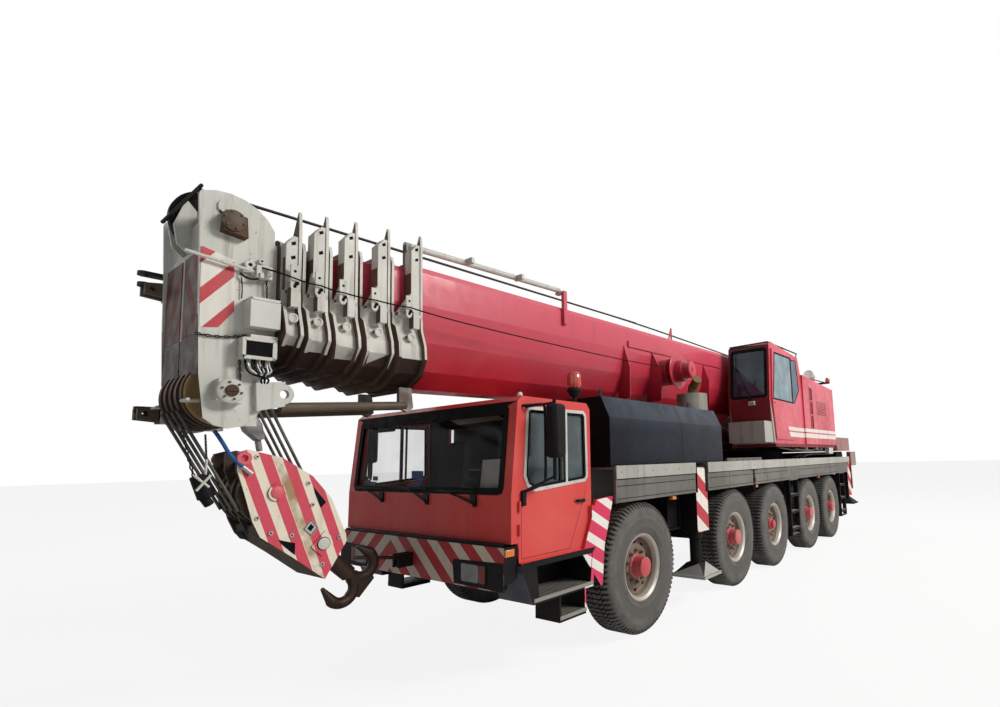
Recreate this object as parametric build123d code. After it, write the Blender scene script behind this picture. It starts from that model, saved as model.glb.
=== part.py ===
"""Five-axle mobile crane with a six-part telescopic boom, as separate pieces.

Frame: millimetres, +X towards the front, +Y to the driver's left, +Z up, ground at z = 0,
origin on the ground under the middle of the parked crane.
The boom is drawn along its own axis (s forward from its foot pin, t square to it) and is then
laid down by BOOM_SLOPE at the foot pin.
"""
from build123d import *
import math
import os

os.makedirs("parts", exist_ok=True)

# ------------------------------------------------------------------ driving sizes
FIT = 0.3                      # gap between a piece and what it sits on or turns in

TYRE_R = 685
TYRE_W = 375
RIM_R = 318
WHEEL_Y = 1187.5               # middle of a tyre
AXLE_Z = TYRE_R
KINGPIN_Y = 920

AXLES = [                      # name, x, driven and steered
    ("1", 3300, True),
    ("2", 800, True),
    ("3", -850, False),
    ("4", -2900, True),
    ("5", -4550, True),
]
SIDES = [("left", 1), ("right", -1)]

FRAME_Y = 450                  # half width of the main frame
FRAME_Z0, FRAME_Z1 = 930, 1330
FRAME_X0, FRAME_X1 = -6800, 3900
NOSE_Z0, NOSE_Z1 = 780, 1000   # low front end of the frame under the cab
NOSE_X1 = 5130

DECK_Y = 1375
DECK_Z0, DECK_Z1 = 1395, 1760
DECK_X0, DECK_X1 = -6500, 3800

CAB_X0, CAB_X1 = 4120, 5180
CAB_Y = 1300
CAB_Z0, CAB_Z1 = 1000, 2400
CAB_WALL = 40
SILL_Z = 1555                  # lower edge of the windscreen
DOOR_T = 36


SLEW_X = -3000
RING_R = 800
RING_Z0, RING_Z1 = 1785, 1950
TAIL_R = 3930                  # sweep of the counterweight round the slewing axis
PLATE_Y = 500                  # inner faces of the platform's side plates
PLATFORM_Z = 2060              # top of the outboard floors
HOUSE_Y = 1370                 # outer face of the crane cab and the machine housing

BOOM_X, BOOM_Z = -5000, 3150   # foot pin of the boom
BOOM_SLOPE = 1.35              # nose down, degrees

HOOD_X0, HOOD_X1 = 1010, 3780
HOOD_Z1 = BOOM_Z - 630         # the hood passes below the boom
HOOD_CHANNEL = 430             # half width of the channel under the boom

LUFF_FOOT = (-3700, 2150)      # foot pin of the luffing cylinder, x and z
LUFF_LUG = (4450, -630)        # its rod pin on the boom, s and t

# boom sections: name, how far each lies inside the base section's outside,
# where its collar starts along the boom, the collar's length
SECTIONS = [
    ("boom_base", 0, 10510, 270),
    ("boom_section_1", 34, 10828, 238),
    ("boom_section_2", 68, 11114, 200),
    ("boom_section_3", 102, 11350, 165),
    ("boom_section_4", 136, 11548, 122),
    ("boom_tip_section", 170, 11700, 0),
]
BOOM_HALF = 420                # half width, top and bottom of the base section
BOOM_TOP, BOOM_LOW = 770, -360
BOOM_CREASE = 390              # level where the straight sides end
BEND_ANGLES = [0, 25, 48, 70]
TUBE_WALL = 12

HEAD_Y = 400                   # half width over the head's side plates
HEAD_SHEAVE = (11936, -511)    # axle of the lower head sheaves, s and t
HEAD_SHEAVE_Y = [-228, -114, 0, 114, 228]
TOP_SHEAVE = (12000, 780)      # axle of the sheave on top of the head
SHEAVE_R = 235
ROPE_R = 11

OUTRIGGERS = [                 # name, x of left beam, x of right beam, guard's lower end, neck's top, foot
    ("front", 1860, 2200, 890, 1710, 330),
    ("rear", -6450, -6130, 800, 1640, 600),
]
BEAM_X, BEAM_Z0, BEAM_Z1 = 270, 960, 1300
JACK_Y = 1235
JACK_R = 75
JACK_FOOT = 240                # half width of a jack's foot plate


# ------------------------------------------------------------------ helpers
def box(x0, x1, y0, y1, z0, z1):
    """Block between two corners."""
    middle = Pos((x0 + x1) / 2, (y0 + y1) / 2, (z0 + z1) / 2)
    return middle * Box(abs(x1 - x0), abs(y1 - y0), abs(z1 - z0))


def side_plate(points, y0, y1):
    """Outline in x and z, carried across from y0 to y1."""
    low, high = sorted((y0, y1))
    outline = make_face(Polyline(*points, close=True))
    return Pos(0, high, 0) * Rot(90, 0, 0) * extrude(outline, amount=high - low)


def cross_plate(points, x0, x1):
    """Outline in y and z, carried forward from x0 to x1."""
    outline = make_face(Plane.YZ.offset(x0) * Polyline(*points, close=True))
    return extrude(outline, amount=x1 - x0, dir=(1, 0, 0))


def flat_plate(points, z0, z1):
    """Outline in x and y, carried up from z0 to z1."""
    outline = make_face(Polyline(*points, close=True))
    return Pos(0, 0, z0) * extrude(outline, amount=z1 - z0)


def rod(p, q, r):
    """Round bar from p to q."""
    a = Vector(*p)
    b = Vector(*q)
    return Solid.make_cylinder(r, (b - a).length, Plane(origin=a, z_dir=b - a))


def across(x, z, y0, y1, r):
    """Round bar across the crane."""
    return rod((x, y0, z), (x, y1, z), r)


def upright(x, y, z0, z1, r):
    """Upright round bar."""
    return rod((x, y, z0), (x, y, z1), r)


def arc_points(cx, cz, r, start, end, steps):
    """Points along an arc, angles in degrees from +X towards +Z."""
    turns = [math.radians(start + (end - start) * k / steps) for k in range(steps + 1)]
    return [(cx + r * math.cos(a), cz + r * math.sin(a)) for a in turns]


def mirrored(half_outline):
    """Closed outline from its right half, listed from top to bottom."""
    return half_outline + [(-y, z) for y, z in reversed(half_outline)]


def fuse(parts):
    """One solid from pieces that touch."""
    whole = parts[0]
    for piece in parts[1:]:
        whole = whole + piece
    return whole


def save(shape, name):
    shape.label = name
    export_step(shape, "parts/" + name + ".step")


def on_boom(shape):
    """From the boom's own s, y, t to its laid-down place on the crane."""
    return Pos(BOOM_X, 0, BOOM_Z) * Rot(0, BOOM_SLOPE, 0) * shape


def boom_point(s, t):
    """x and z of a point given along and square to the boom."""
    a = math.radians(BOOM_SLOPE)
    x = BOOM_X + s * math.cos(a) + t * math.sin(a)
    z = BOOM_Z - s * math.sin(a) + t * math.cos(a)
    return x, z


# ------------------------------------------------------------------ carrier frame
def outrigger_box(x_left, x_right):
    """Cross box that holds the two sliding beams of one end, side by side."""
    x0 = min(x_left, x_right) - BEAM_X / 2 - 30
    x1 = max(x_left, x_right) + BEAM_X / 2 + 30
    return box(x0, x1, -1130, 1130, BEAM_Z0 - 30, BEAM_Z1 + 30)


def beam_channel(x):
    half = BEAM_X / 2 + FIT
    return box(x - half, x + half, -1300, 1300, BEAM_Z0 - FIT, BEAM_Z1 + FIT)


frame = box(FRAME_X0, FRAME_X1, -FRAME_Y, FRAME_Y, FRAME_Z0, FRAME_Z1)
hollow = box(FRAME_X0 + 60, FRAME_X1 - 60, -FRAME_Y + 30, FRAME_Y - 30, FRAME_Z0 - 1, FRAME_Z1 - 30)
frame = frame - hollow
for name, x_left, x_right, *levels in OUTRIGGERS:
    frame = frame + outrigger_box(x_left, x_right)
    frame = frame - beam_channel(x_left) - beam_channel(x_right)
nose = side_plate(
    [
        (FRAME_X1 - 1, FRAME_Z1),
        (FRAME_X1 - 1, FRAME_Z0),
        (FRAME_X1 + 120, NOSE_Z0),
        (NOSE_X1, NOSE_Z0),
        (NOSE_X1, NOSE_Z1 - FIT),
        (FRAME_X1 + 190, NOSE_Z1 - FIT),
        (FRAME_X1 + 150, FRAME_Z1),
    ],
    -FRAME_Y,
    FRAME_Y,
)
pedestal = upright(SLEW_X, 0, FRAME_Z1 - 1, RING_Z0 - FIT, RING_R)
hangers = []
for name, x, driven in AXLES:
    for side, s in SIDES:
        hangers.append(box(x - 70, x + 70, s * 330, s * 560, FRAME_Z0, FRAME_Z0 + 150))
# rear cross bar with its corner posts and marker plates, and the towing jaw
REAR_POST_Y = 1310
rear_bar = box(FRAME_X0 - 60, FRAME_X0 + 1, -REAR_POST_Y, REAR_POST_Y, 1010, 1150)
for side, s in SIDES:
    rear_bar = rear_bar + box(FRAME_X0 - 60, FRAME_X0 + 20, s * (REAR_POST_Y - 40), s * (REAR_POST_Y + 40), 950, 1900)
    plate = flat_plate(
        [
            (FRAME_X0 - 50, s * (REAR_POST_Y + 30)),
            (FRAME_X0 - 550, s * (REAR_POST_Y + 50)),
            (FRAME_X0 - 550, s * (REAR_POST_Y + 58)),
            (FRAME_X0 - 50, s * (REAR_POST_Y + 45)),
        ],
        1540,
        1900,
    )
    rear_bar = rear_bar + plate
jaw = box(FRAME_X0 - 180, FRAME_X0 + 1, -90, 90, 1000, 1160)
jaw = jaw - box(FRAME_X0 - 190, FRAME_X0 - 70, -95, 95, 1045, 1115)
jaw = jaw - upright(FRAME_X0 - 125, 0, 990, 1170, 25)
carrier_frame = fuse([frame, nose, pedestal, rear_bar, jaw] + hangers)
save(carrier_frame, "carrier_frame")

# ------------------------------------------------------------------ deck with side skirts and ladders
TOP_T = 25
SKIRT_T = 30
LADDERS = [-1920, -5620]       # x of each ladder's middle
LADDER_Z0 = 390
TREADS = 4
TREAD_STEP = 302
STRIP_Z = 120                  # depth of the thick strip along the deck's edge

deck = box(DECK_X0, DECK_X1, -DECK_Y, DECK_Y, DECK_Z1 - TOP_T, DECK_Z1)
for side, s in SIDES:
    deck = deck + box(DECK_X0, DECK_X1, s * DECK_Y, s * (DECK_Y - SKIRT_T), DECK_Z0, DECK_Z1)
    deck = deck + box(DECK_X0, DECK_X1, s * 400, s * (400 - SKIRT_T), FRAME_Z1, DECK_Z1)
    # rubbing strip along the upper edge, and the drilled rail behind the hood
    deck = deck + box(DECK_X0, DECK_X1, s * (DECK_Y - 5), s * (DECK_Y + 12), DECK_Z1 - STRIP_Z, DECK_Z1 + 15)
    rail = box(-490, 900, s * 1290, s * 1320, DECK_Z1 - 5, DECK_Z1 + 60)
    for k in range(6):
        rail = rail - across(-380 + 230 * k, DECK_Z1 + 32, s * 1280, s * 1330, 14)
    deck = deck + rail
deck = deck + box(DECK_X0, DECK_X0 + 25, -1040, 1040, DECK_Z0, DECK_Z1)
deck = deck - upright(SLEW_X, 0, 1000, 2400, RING_R + 60)
deck = deck - box(1480, 3320, -365, 365, DECK_Z1 - 100, DECK_Z1 + 10)
for name, x_left, x_right, guard_z, neck_z, foot_z in OUTRIGGERS:
    notch_z = DECK_Z1 + 30 if neck_z > DECK_Z1 - STRIP_Z else neck_z + 10
    for s, x in ((1, x_left), (-1, x_right)):
        deck = deck - box(x - 180, x + 180, s * 1060, s * 1500, DECK_Z0 - 10, notch_z)
for x in LADDERS:
    for side, s in SIDES:
        for dx in (-250, 215):
            deck = deck + box(x + dx, x + dx + 35, s * 1290, s * 1374, LADDER_Z0, DECK_Z0 + 240)
        for k in range(TREADS):
            z = LADDER_Z0 + 85 + TREAD_STEP * k
            deck = deck + box(x - 230, x + 230, s * 1280, s * 1382, z, z + 45)
        deck = deck + box(x - 250, x + 250, s * 1290, s * 1360, LADDER_Z0 - 15, LADDER_Z0 + 10)
save(deck, "deck")

# ------------------------------------------------------------------ axles, knuckles and wheels
axle_solids = []
for name, x, driven in AXLES:
    beam_end = KINGPIN_Y - 75 if driven else WHEEL_Y - 60
    axle = across(x, AXLE_Z, -beam_end, beam_end, 75)
    if driven:
        axle = axle + Pos(x, 0, AXLE_Z) * Sphere(215)
    for side, s in SIDES:
        axle = axle + upright(x, s * 450, AXLE_Z, FRAME_Z0 - FIT, 62)
        if driven:
            for z0, z1 in ((130, 175), (-175, -130)):
                axle = axle + box(x - 60, x + 60, s * (beam_end - 60), s * (KINGPIN_Y + 50), AXLE_Z + z0, AXLE_Z + z1)
            axle = axle + box(x - 60, x + 60, s * (beam_end - 60), s * (beam_end - 5), AXLE_Z - 175, AXLE_Z + 175)
    axle_solids.append(axle)
save(Compound(children=axle_solids), "axle_beams")

for name, x, driven in AXLES:
    if not driven:
        continue
    for side, s in SIDES:
        knuckle = upright(x, s * KINGPIN_Y, AXLE_Z - 130 + FIT, AXLE_Z + 130 - FIT, 55)
        knuckle = knuckle + across(x, AXLE_Z, s * KINGPIN_Y, s * (WHEEL_Y - 60), 60)
        arm = box(x - 230, x, s * (KINGPIN_Y - 20), s * (KINGPIN_Y + 20), AXLE_Z - 40, AXLE_Z + 10)
        save(knuckle + arm, "knuckle_" + name + "_" + side)


def wheel(driven):
    """Tyre and rim about the Y axis, outer face towards +Y."""
    half = TYRE_W / 2
    tread = [
        (RIM_R + FIT, -half + 55),
        (RIM_R + 60, -half + 15),
        (TYRE_R - 150, -half),
        (TYRE_R - 30, -half + 22),
        (TYRE_R, -half + 60),
        (TYRE_R, half - 60),
        (TYRE_R - 30, half - 22),
        (TYRE_R - 150, half),
        (RIM_R + 60, half - 15),
        (RIM_R + FIT, half - 55),
    ]
    tyre = revolve(make_face(Polyline(*tread, close=True)), Axis.Y)
    cap_r, cap_y = (105, half + 15) if driven else (95, half - 30)
    rim_line = [
        (60 + FIT, -60),
        (235, -60),
        (235, 20),
        (RIM_R - 24, 60),
        (RIM_R - 24, -half + 45),
        (RIM_R + 30, -half + 45),
        (RIM_R + 30, -half + 55 - FIT),
        (RIM_R, -half + 55 - FIT),
        (RIM_R, half - 55 + FIT),
        (RIM_R + 37, half - 55 + FIT),
        (RIM_R + 37, half - 32),
        (RIM_R - 12, half - 32),
        (RIM_R - 40, 45),
        (cap_r, 45),
        (cap_r, cap_y),
        (0, cap_y),
        (0, 0),
        (60 + FIT, 0),
    ]
    rim = revolve(make_face(Polyline(*rim_line, close=True)), Axis.Y)
    return Compound(children=[tyre, rim])


for name, x, driven in AXLES:
    for side, s in SIDES:
        turn = Rot(0, 0, 0) if s > 0 else Rot(0, 0, 180)
        save(Pos(x, s * WHEEL_Y, AXLE_Z) * turn * wheel(driven), "wheel_" + name + "_" + side)

# ------------------------------------------------------------------ engine block between the hoods
save(box(1500, 3300, -350, 350, FRAME_Z1 + FIT, HOOD_Z1 - 320), "drive_train")


# ------------------------------------------------------------------ engine hood, left and right boxes
def hood_line(s, gap):
    """Section of one hood box, pushed in by gap."""
    return [
        (s * (HOOD_CHANNEL + gap), DECK_Z1 + FIT - (1 if gap else 0)),
        (s * (1300 - gap), DECK_Z1 + FIT - (1 if gap else 0)),
        (s * (1300 - gap), HOOD_Z1 - 235),
        (s * (1190 - gap), HOOD_Z1 - gap),
        (s * (HOOD_CHANNEL + gap), HOOD_Z1 - gap),
    ]


hood_boxes = []
for side, s in SIDES:
    hood = cross_plate(hood_line(s, 0), HOOD_X0, HOOD_X1)
    hood_boxes.append(hood - cross_plate(hood_line(s, 15), HOOD_X0 + 15, HOOD_X1 - 15))
save(Compound(children=hood_boxes), "engine_hood")

# exhaust drum on the hood with its cranked tail pipe
STACK = (1240, 960)
exhaust = upright(*STACK, HOOD_Z1 + FIT, HOOD_Z1 + 250, 225)
exhaust = exhaust + rod((*STACK, HOOD_Z1 + 240), (STACK[0] + 20, STACK[1] + 40, HOOD_Z1 + 350), 70)
exhaust = exhaust + Pos(STACK[0] + 20, STACK[1] + 40, HOOD_Z1 + 350) * Sphere(74)
exhaust = exhaust + rod((STACK[0] + 20, STACK[1] + 40, HOOD_Z1 + 350), (STACK[0] + 110, STACK[1] + 160, HOOD_Z1 + 450), 66)
save(exhaust, "exhaust_stack")

# ------------------------------------------------------------------ carrier cab
CAB_SIDE = [
    (CAB_X0, CAB_Z0),
    (CAB_X0, CAB_Z1 - 60),
    (CAB_X0 + 50, CAB_Z1),
    (CAB_X1 - 130, CAB_Z1 + 5),
    (CAB_X1 - 75, CAB_Z1 - 40),
    (CAB_X1, SILL_Z),
    (CAB_X1, 1170),
    (CAB_X1 - 85, 1170),
    (CAB_X1 - 85, CAB_Z0),
]
CAB_INNER = [
    (CAB_X0 + CAB_WALL, CAB_Z0 + CAB_WALL),
    (CAB_X0 + CAB_WALL, CAB_Z1 - CAB_WALL - 40),
    (CAB_X0 + CAB_WALL + 40, CAB_Z1 - CAB_WALL),
    (CAB_X1 - 150, CAB_Z1 - CAB_WALL),
    (CAB_X1 - 118, CAB_Z1 - CAB_WALL - 30),
    (CAB_X1 - CAB_WALL, SILL_Z),
    (CAB_X1 - CAB_WALL, 1210),
    (CAB_X1 - 125, 1210),
    (CAB_X1 - 125, CAB_Z0 + CAB_WALL),
]
DOOR = [
    (CAB_X1 - 105, CAB_Z0 + 30),
    (CAB_X1 - 70, 1190),
    (CAB_X1 - 70, SILL_Z),
    (CAB_X1 - 140, CAB_Z1 - 60),
    (CAB_X0 + 60, CAB_Z1 - 60),
    (CAB_X0 + 40, 1480),
    (CAB_X0 + 250, CAB_Z0 + 30),
]
DOOR_WINDOW = [
    (4225, 2300),
    (4200, 2270),
    (4190, 1690),
    (4220, 1655),
    (4900, 1600),
    (4985, 1640),
    (5020, 1720),
    (4985, 2270),
    (4955, 2300),
]
WINDOW_BAR = (4545, 4570)      # upright bar of the door window
HINGE_X = CAB_X1 - 85          # axis of the door hinges
MUDGUARD = [
    (3800, 1470),
    (4090, 1450),
    (4310, 960),
    (4040, 630),
    (4015, 640),
    (3970, 1000),
]
STEP_BOX = [
    (5095, 995),
    (5090, 930),
    (4970, 655),
    (4170, 655),
    (4120, 995),
]
STEP_HOLLOW = [
    (4930, 960),
    (4900, 690),
    (4210, 690),
    (4170, 960),
]


def grown(points, by):
    """Outline pushed outwards by the given distance."""
    return offset(make_face(Polyline(*points, close=True)), by, kind=Kind.INTERSECTION)


def side_face(face, y0, y1):
    low, high = sorted((y0, y1))
    return Pos(0, high, 0) * Rot(90, 0, 0) * extrude(face, amount=high - low)


cab = side_plate(CAB_SIDE, -CAB_Y, CAB_Y)
cab = cab - side_plate(CAB_INNER, -CAB_Y + CAB_WALL, CAB_Y - CAB_WALL)
cab = cab - box(CAB_X1 - 200, CAB_X1 + 50, -1190, 1190, SILL_Z + 20, CAB_Z1 - 75)
cab = cab - box(CAB_X0 - 10, CAB_X0 + 60, -900, 900, 1750, 2250)
for side, s in SIDES:
    cab = cab - side_face(grown(DOOR, FIT), s * (CAB_Y - CAB_WALL - 5), s * (CAB_Y + 5))
    cab = cab + side_plate(MUDGUARD, s * 1301, s * 1340)
    cab = cab + box(4100, 4160, s * 1200, s * 1340, 1000, 1400)
    steps = side_plate(STEP_BOX, s * 930, s * 1345)
    steps = steps - side_plate(STEP_HOLLOW, s * 960, s * 1400)
    cab = cab + steps + box(4120, 5095, s * 930, s * 1345, 990, CAB_Z0 + 10)
    cab = cab + box(4280, 4650, s * 1050, s * 1345, 435, 475)
    for x in (4280, 4630):
        cab = cab + box(x, x + 20, s * 1050, s * 1345, 435, 700)
cab = cab + upright(4260, 1225, CAB_Z1 - 30, 2520, 22) + upright(4260, 1225, 2500, 2700, 62)
save(cab, "carrier_cab")

slope = (CAB_X1 - 75 - CAB_X1) / (CAB_Z1 - 40 - SILL_Z)
pane_z0, pane_z1 = SILL_Z + 20 + FIT, CAB_Z1 - 75 - FIT
pane_x0 = CAB_X1 + slope * (pane_z0 - SILL_Z) - 12
pane_x1 = CAB_X1 + slope * (pane_z1 - SILL_Z) - 12
pane = [(pane_x0, pane_z0), (pane_x0 - 8, pane_z0), (pane_x1 - 8, pane_z1), (pane_x1, pane_z1)]
screen = side_plate(pane, -1190 + FIT, 1190 - FIT)
rear_pane = box(CAB_X0 + 15, CAB_X0 + 21, -900 + FIT, 900 - FIT, 1750 + FIT, 2250 - FIT)
save(Compound(children=[screen, rear_pane]), "cab_windows")


def door(s):
    """Door leaf with its window cut out, its handle and the mirror on two arms."""
    y0, y1 = s * (CAB_Y - DOOR_T), s * CAB_Y
    leaf = side_plate(DOOR, y0, y1) - side_plate(DOOR_WINDOW, s * (CAB_Y - DOOR_T - 5), s * (CAB_Y + 5))
    leaf = leaf + box(WINDOW_BAR[0], WINDOW_BAR[1], y0, y1, 1600, 2330)
    handle = box(4250, 4350, s * (CAB_Y - 1), s * (CAB_Y + 30), 1445, 1470)
    head = box(4800, 4890, s * 1450, s * 1540, 1900, 2320)
    arm_low = rod((5060, s * (CAB_Y - 1), 1580), (4850, s * 1490, 1710), 11)
    arm_up = rod((5010, s * (CAB_Y - 1), 2310), (4850, s * 1490, 2345), 11)
    post = upright(4850, s * 1490, 1680, 2375, 16)
    hinges = [upright(HINGE_X, s * (CAB_Y + 10), z, z + 90, 13) for z in (1230, 1420)]
    return fuse([leaf, handle, arm_low, arm_up, post, head] + hinges)


def door_glass(s):
    y0, y1 = s * (CAB_Y - 15), s * (CAB_Y - 22)
    whole = side_face(grown(DOOR_WINDOW, -FIT), y0, y1)
    return whole - box(WINDOW_BAR[0] - FIT, WINDOW_BAR[1] + FIT, s * (CAB_Y - 40), s * CAB_Y, 1500, 2400)


for side, s in SIDES:
    save(door(s), "door_" + side)
    save(door_glass(s), "door_glass_" + side)

# seats, dashboard and steering wheel
seats = []
for y in (650, -650):
    cushion = box(4300, 4780, y - 240, y + 240, 1330, 1440)
    back = side_plate([(4230, 1400), (4340, 1400), (4290, 2080), (4200, 2080)], y - 230, y + 230)
    foot = box(4420, 4660, y - 120, y + 120, CAB_Z0 + CAB_WALL + FIT, 1340)
    seats.append(fuse([cushion, back, foot]))
dash_line = [(4960, 1213), (CAB_X1 - 127, 1213), (CAB_X1 - 127, 1210 + FIT), (CAB_X1 - CAB_WALL - FIT, 1210 + FIT),
             (CAB_X1 - CAB_WALL - FIT, 1510), (5010, 1540), (4940, 1500)]
dash = side_plate(dash_line, -1200, 1200)
column = rod((4985, 650, 1400), (4868, 650, 1578), 25)
wheel_plane = Pos(4870, 650, 1575) * Rot(0, -33, 0)
steering = fuse([dash, column, wheel_plane * Box(40, 410, 14), wheel_plane * Torus(210, 16)])
save(Compound(children=[seats[0], seats[1], steering]), "cab_interior")

# ------------------------------------------------------------------ bumper with lamps and the hook's tie bar
BUMPER_X1 = 5250
bumper = box(NOSE_X1 + FIT, BUMPER_X1, -1200, 1200, 800, 1150)
for side, s in SIDES:
    bumper = bumper + side_plate([(5110, 1150), (5110, 900), (5160, 860), (BUMPER_X1, 860), (BUMPER_X1, 1150)],
                                 s * 1150, s * 1290)
    bumper = bumper - box(5200, 5260, s * 700, s * 1130, 815, 1010)
    for y in (830, 1010):
        lens = Pos(5200, s * y, 912) * Rot(0, 90, 0) * Cylinder(80, 60)
        bumper = bumper + lens
for s in (1, -1):
    bumper = bumper + box(BUMPER_X1 - 1, BUMPER_X1 + 150, s * 25, s * 50, 900, 1020)
bumper = bumper + rod((BUMPER_X1 + 110, -60, 960), (BUMPER_X1 + 110, 60, 960), 22)
save(bumper, "front_bumper")

# ------------------------------------------------------------------ outriggers
for name, x_left, x_right, guard_z, neck_z, foot_z in OUTRIGGERS:
    for side, x in (("left", x_left), ("right", x_right)):
        s = 1 if side == "left" else -1
        beam = box(x - BEAM_X / 2, x + BEAM_X / 2, -s * 1100, s * 1300, BEAM_Z0, BEAM_Z1)
        guard = box(x - 160, x + 160, s * 1150, s * 1365, guard_z, 1390)
        neck = box(x - 110, x + 110, s * 1150, s * 1365, 1380, neck_z)
        leg = fuse([beam, guard, neck]) - upright(x, s * JACK_Y, guard_z - 50, neck_z - 40, JACK_R + FIT)
        save(leg, "outrigger_beam_" + name + "_" + side)
        jack = upright(x, s * JACK_Y, foot_z + 110, neck_z - 50, JACK_R)
        gland = upright(x, s * JACK_Y, guard_z - 90, guard_z - 6, 100)
        foot = box(x - JACK_FOOT, x + JACK_FOOT, s * JACK_Y - JACK_FOOT, s * JACK_Y + JACK_FOOT, foot_z, foot_z + 35)
        cone = extrude(Rectangle(2 * JACK_FOOT - 40, 2 * JACK_FOOT - 40), amount=130, taper=45)
        save(fuse([jack, gland, foot, Pos(x, s * JACK_Y, foot_z + 34) * cone]), "outrigger_jack_" + name + "_" + side)

# ------------------------------------------------------------------ slewing platform
TOWER_TOP = BOOM_Z + 170       # top of the side plates round the boom's foot pin
CHEEK = [
    (BOOM_X - 600, RING_Z1),
    (BOOM_X - 600, BOOM_Z - 550),
    (BOOM_X - 200, TOWER_TOP),
    (BOOM_X + 200, TOWER_TOP),
    (-3300, 2700),
    (-2000, 2300),
    (-1200, 2150),
    (-1200, RING_Z1),
]
platform = upright(SLEW_X, 0, RING_Z0, RING_Z1, RING_R)
platform = platform + box(-5600, -1200, -PLATE_Y - 30, PLATE_Y + 30, RING_Z1 - 1, RING_Z1 + 40)
for side, s in SIDES:
    platform = platform + side_plate(CHEEK, s * PLATE_Y, s * (PLATE_Y + 30))
    platform = platform + across(BOOM_X, BOOM_Z, s * (430 + FIT), s * (PLATE_Y + 50), 150)
    platform = platform + across(*LUFF_FOOT, s * 150, s * (PLATE_Y + 10), 84)
    platform = platform + box(-5380, -1190, s * (PLATE_Y + 29), s * (HOUSE_Y - 25), PLATFORM_Z - 60, PLATFORM_Z)
    platform = platform + box(-5000, -1500, s * (PLATE_Y - 10), s * (PLATE_Y + 60), RING_Z1, PLATFORM_Z - 10)
platform = platform + box(-5150, -4780, 1250, HOUSE_Y - 30, 1860, PLATFORM_Z - 50)
platform = platform + across(BOOM_X, BOOM_Z, -PLATE_Y - 60, PLATE_Y + 60, 90)
platform = platform + across(*LUFF_FOOT, -PLATE_Y, PLATE_Y, 60)
save(platform, "slewing_platform")

# ------------------------------------------------------------------ crane cab, its sliding door and glass
CC_Y0 = 560
CC_WALL = 40
CC_SIDE = [
    (-2960, PLATFORM_Z + FIT),
    (-2960, 3420),
    (-2810, 3840),
    (-1230, 3930),
    (-1130, 3860),
    (-1010, 2860),
    (-1150, PLATFORM_Z + FIT),
]
CC_INNER = [
    (-2920, PLATFORM_Z + 60),
    (-2920, 3412),
    (-2782, 3802),
    (-1250, 3889),
    (-1168, 3835),
    (-1051, 2862),
    (-1184, PLATFORM_Z + 60),
]
CC_Y1 = HOUSE_Y - 30           # the cab's side lies behind its sliding door
CC_DOOR = [
    (-1205, 3800),
    (-1085, 2865),
    (-1200, 2135),
    (-2260, 2135),
    (-2260, 3790),
]
CC_DOORWAY = [
    (-1270, 3760),
    (-1160, 2865),
    (-1260, 2180),
    (-2200, 2180),
    (-2200, 3750),
]
CC_PANE = [
    (-1320, 3730),
    (-1135, 2870),
    (-2238, 2862),
    (-2238, 3745),
]
CC_REAR_PANE = [
    (-2300, 3745),
    (-2680, 3765),
    (-2790, 3160),
    (-2440, 2860),
    (-2300, 2861),
]
crane_cab = side_plate(CC_SIDE, CC_Y0, CC_Y1) - side_plate(CC_INNER, CC_Y0 + CC_WALL, CC_Y1 - CC_WALL)
crane_cab = crane_cab - box(-1250, -950, CC_Y0 + 60, CC_Y1 - 60, 2905, 3800)
crane_cab = crane_cab - side_plate(CC_DOORWAY, CC_Y1 - 50, CC_Y1 + 10)
crane_cab = crane_cab - side_plate(CC_REAR_PANE, CC_Y1 - 50, CC_Y1 + 10)
crane_cab = crane_cab - box(-2500, -1500, CC_Y0 - 10, CC_Y0 + 50, 2900, 3650)
# step box in front of the cab's foot
crane_cab = crane_cab + flat_plate([(-1160, CC_Y0), (-720, CC_Y0 + 100), (-720, 1320), (-1160, 1320)],
                                   PLATFORM_Z + 20, PLATFORM_Z + 390)
# seat on its post, with the control box beside it
seat = box(-2500, -2050, 740, 1190, 2560, 2680)
seat = seat + side_plate([(-2520, 2600), (-2400, 2600), (-2500, 3350), (-2590, 3350)], 750, 1180)
seat = seat + box(-2400, -2150, 850, 1080, PLATFORM_Z + 60 + FIT, 2570)
seat = seat + box(-2350, -1700, 620, 740, 2500, 2760) + box(-2350, -2200, 700, 900, 2500, 2560)
save(Compound(children=[crane_cab, seat]), "crane_cab")

door_y = CC_Y1 + FIT
sliding = side_plate(CC_DOOR, door_y, door_y + 28) - side_plate(CC_PANE, door_y - 1, door_y + 40)
sliding = sliding + across(-1180, 2790, door_y + 20, door_y + 45, 14)
save(sliding, "crane_cab_door")
save(side_face(grown(CC_PANE, -FIT), door_y + 15, door_y + 22), "crane_cab_door_glass")

front_slope = (-1130 + 1010) / (3860 - 2860)
cc_z0, cc_z1 = 2905 + FIT, 3800 - FIT
cc_x0 = -1010 + front_slope * (cc_z0 - 2860) - 15
cc_x1 = -1010 + front_slope * (cc_z1 - 2860) - 15
cc_front = side_plate([(cc_x0, cc_z0), (cc_x0 - 8, cc_z0), (cc_x1 - 8, cc_z1), (cc_x1, cc_z1)],
                      CC_Y0 + 60 + FIT, CC_Y1 - 60 - FIT)
cc_rear = side_face(grown(CC_REAR_PANE, -FIT), CC_Y1 - 12, CC_Y1 - 5)
cc_inboard = box(-2500 + FIT, -1500 - FIT, CC_Y0 + 12, CC_Y0 + 19, 2900 + FIT, 3650 - FIT)
save(Compound(children=[cc_front, cc_rear, cc_inboard]), "crane_cab_glass")

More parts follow.
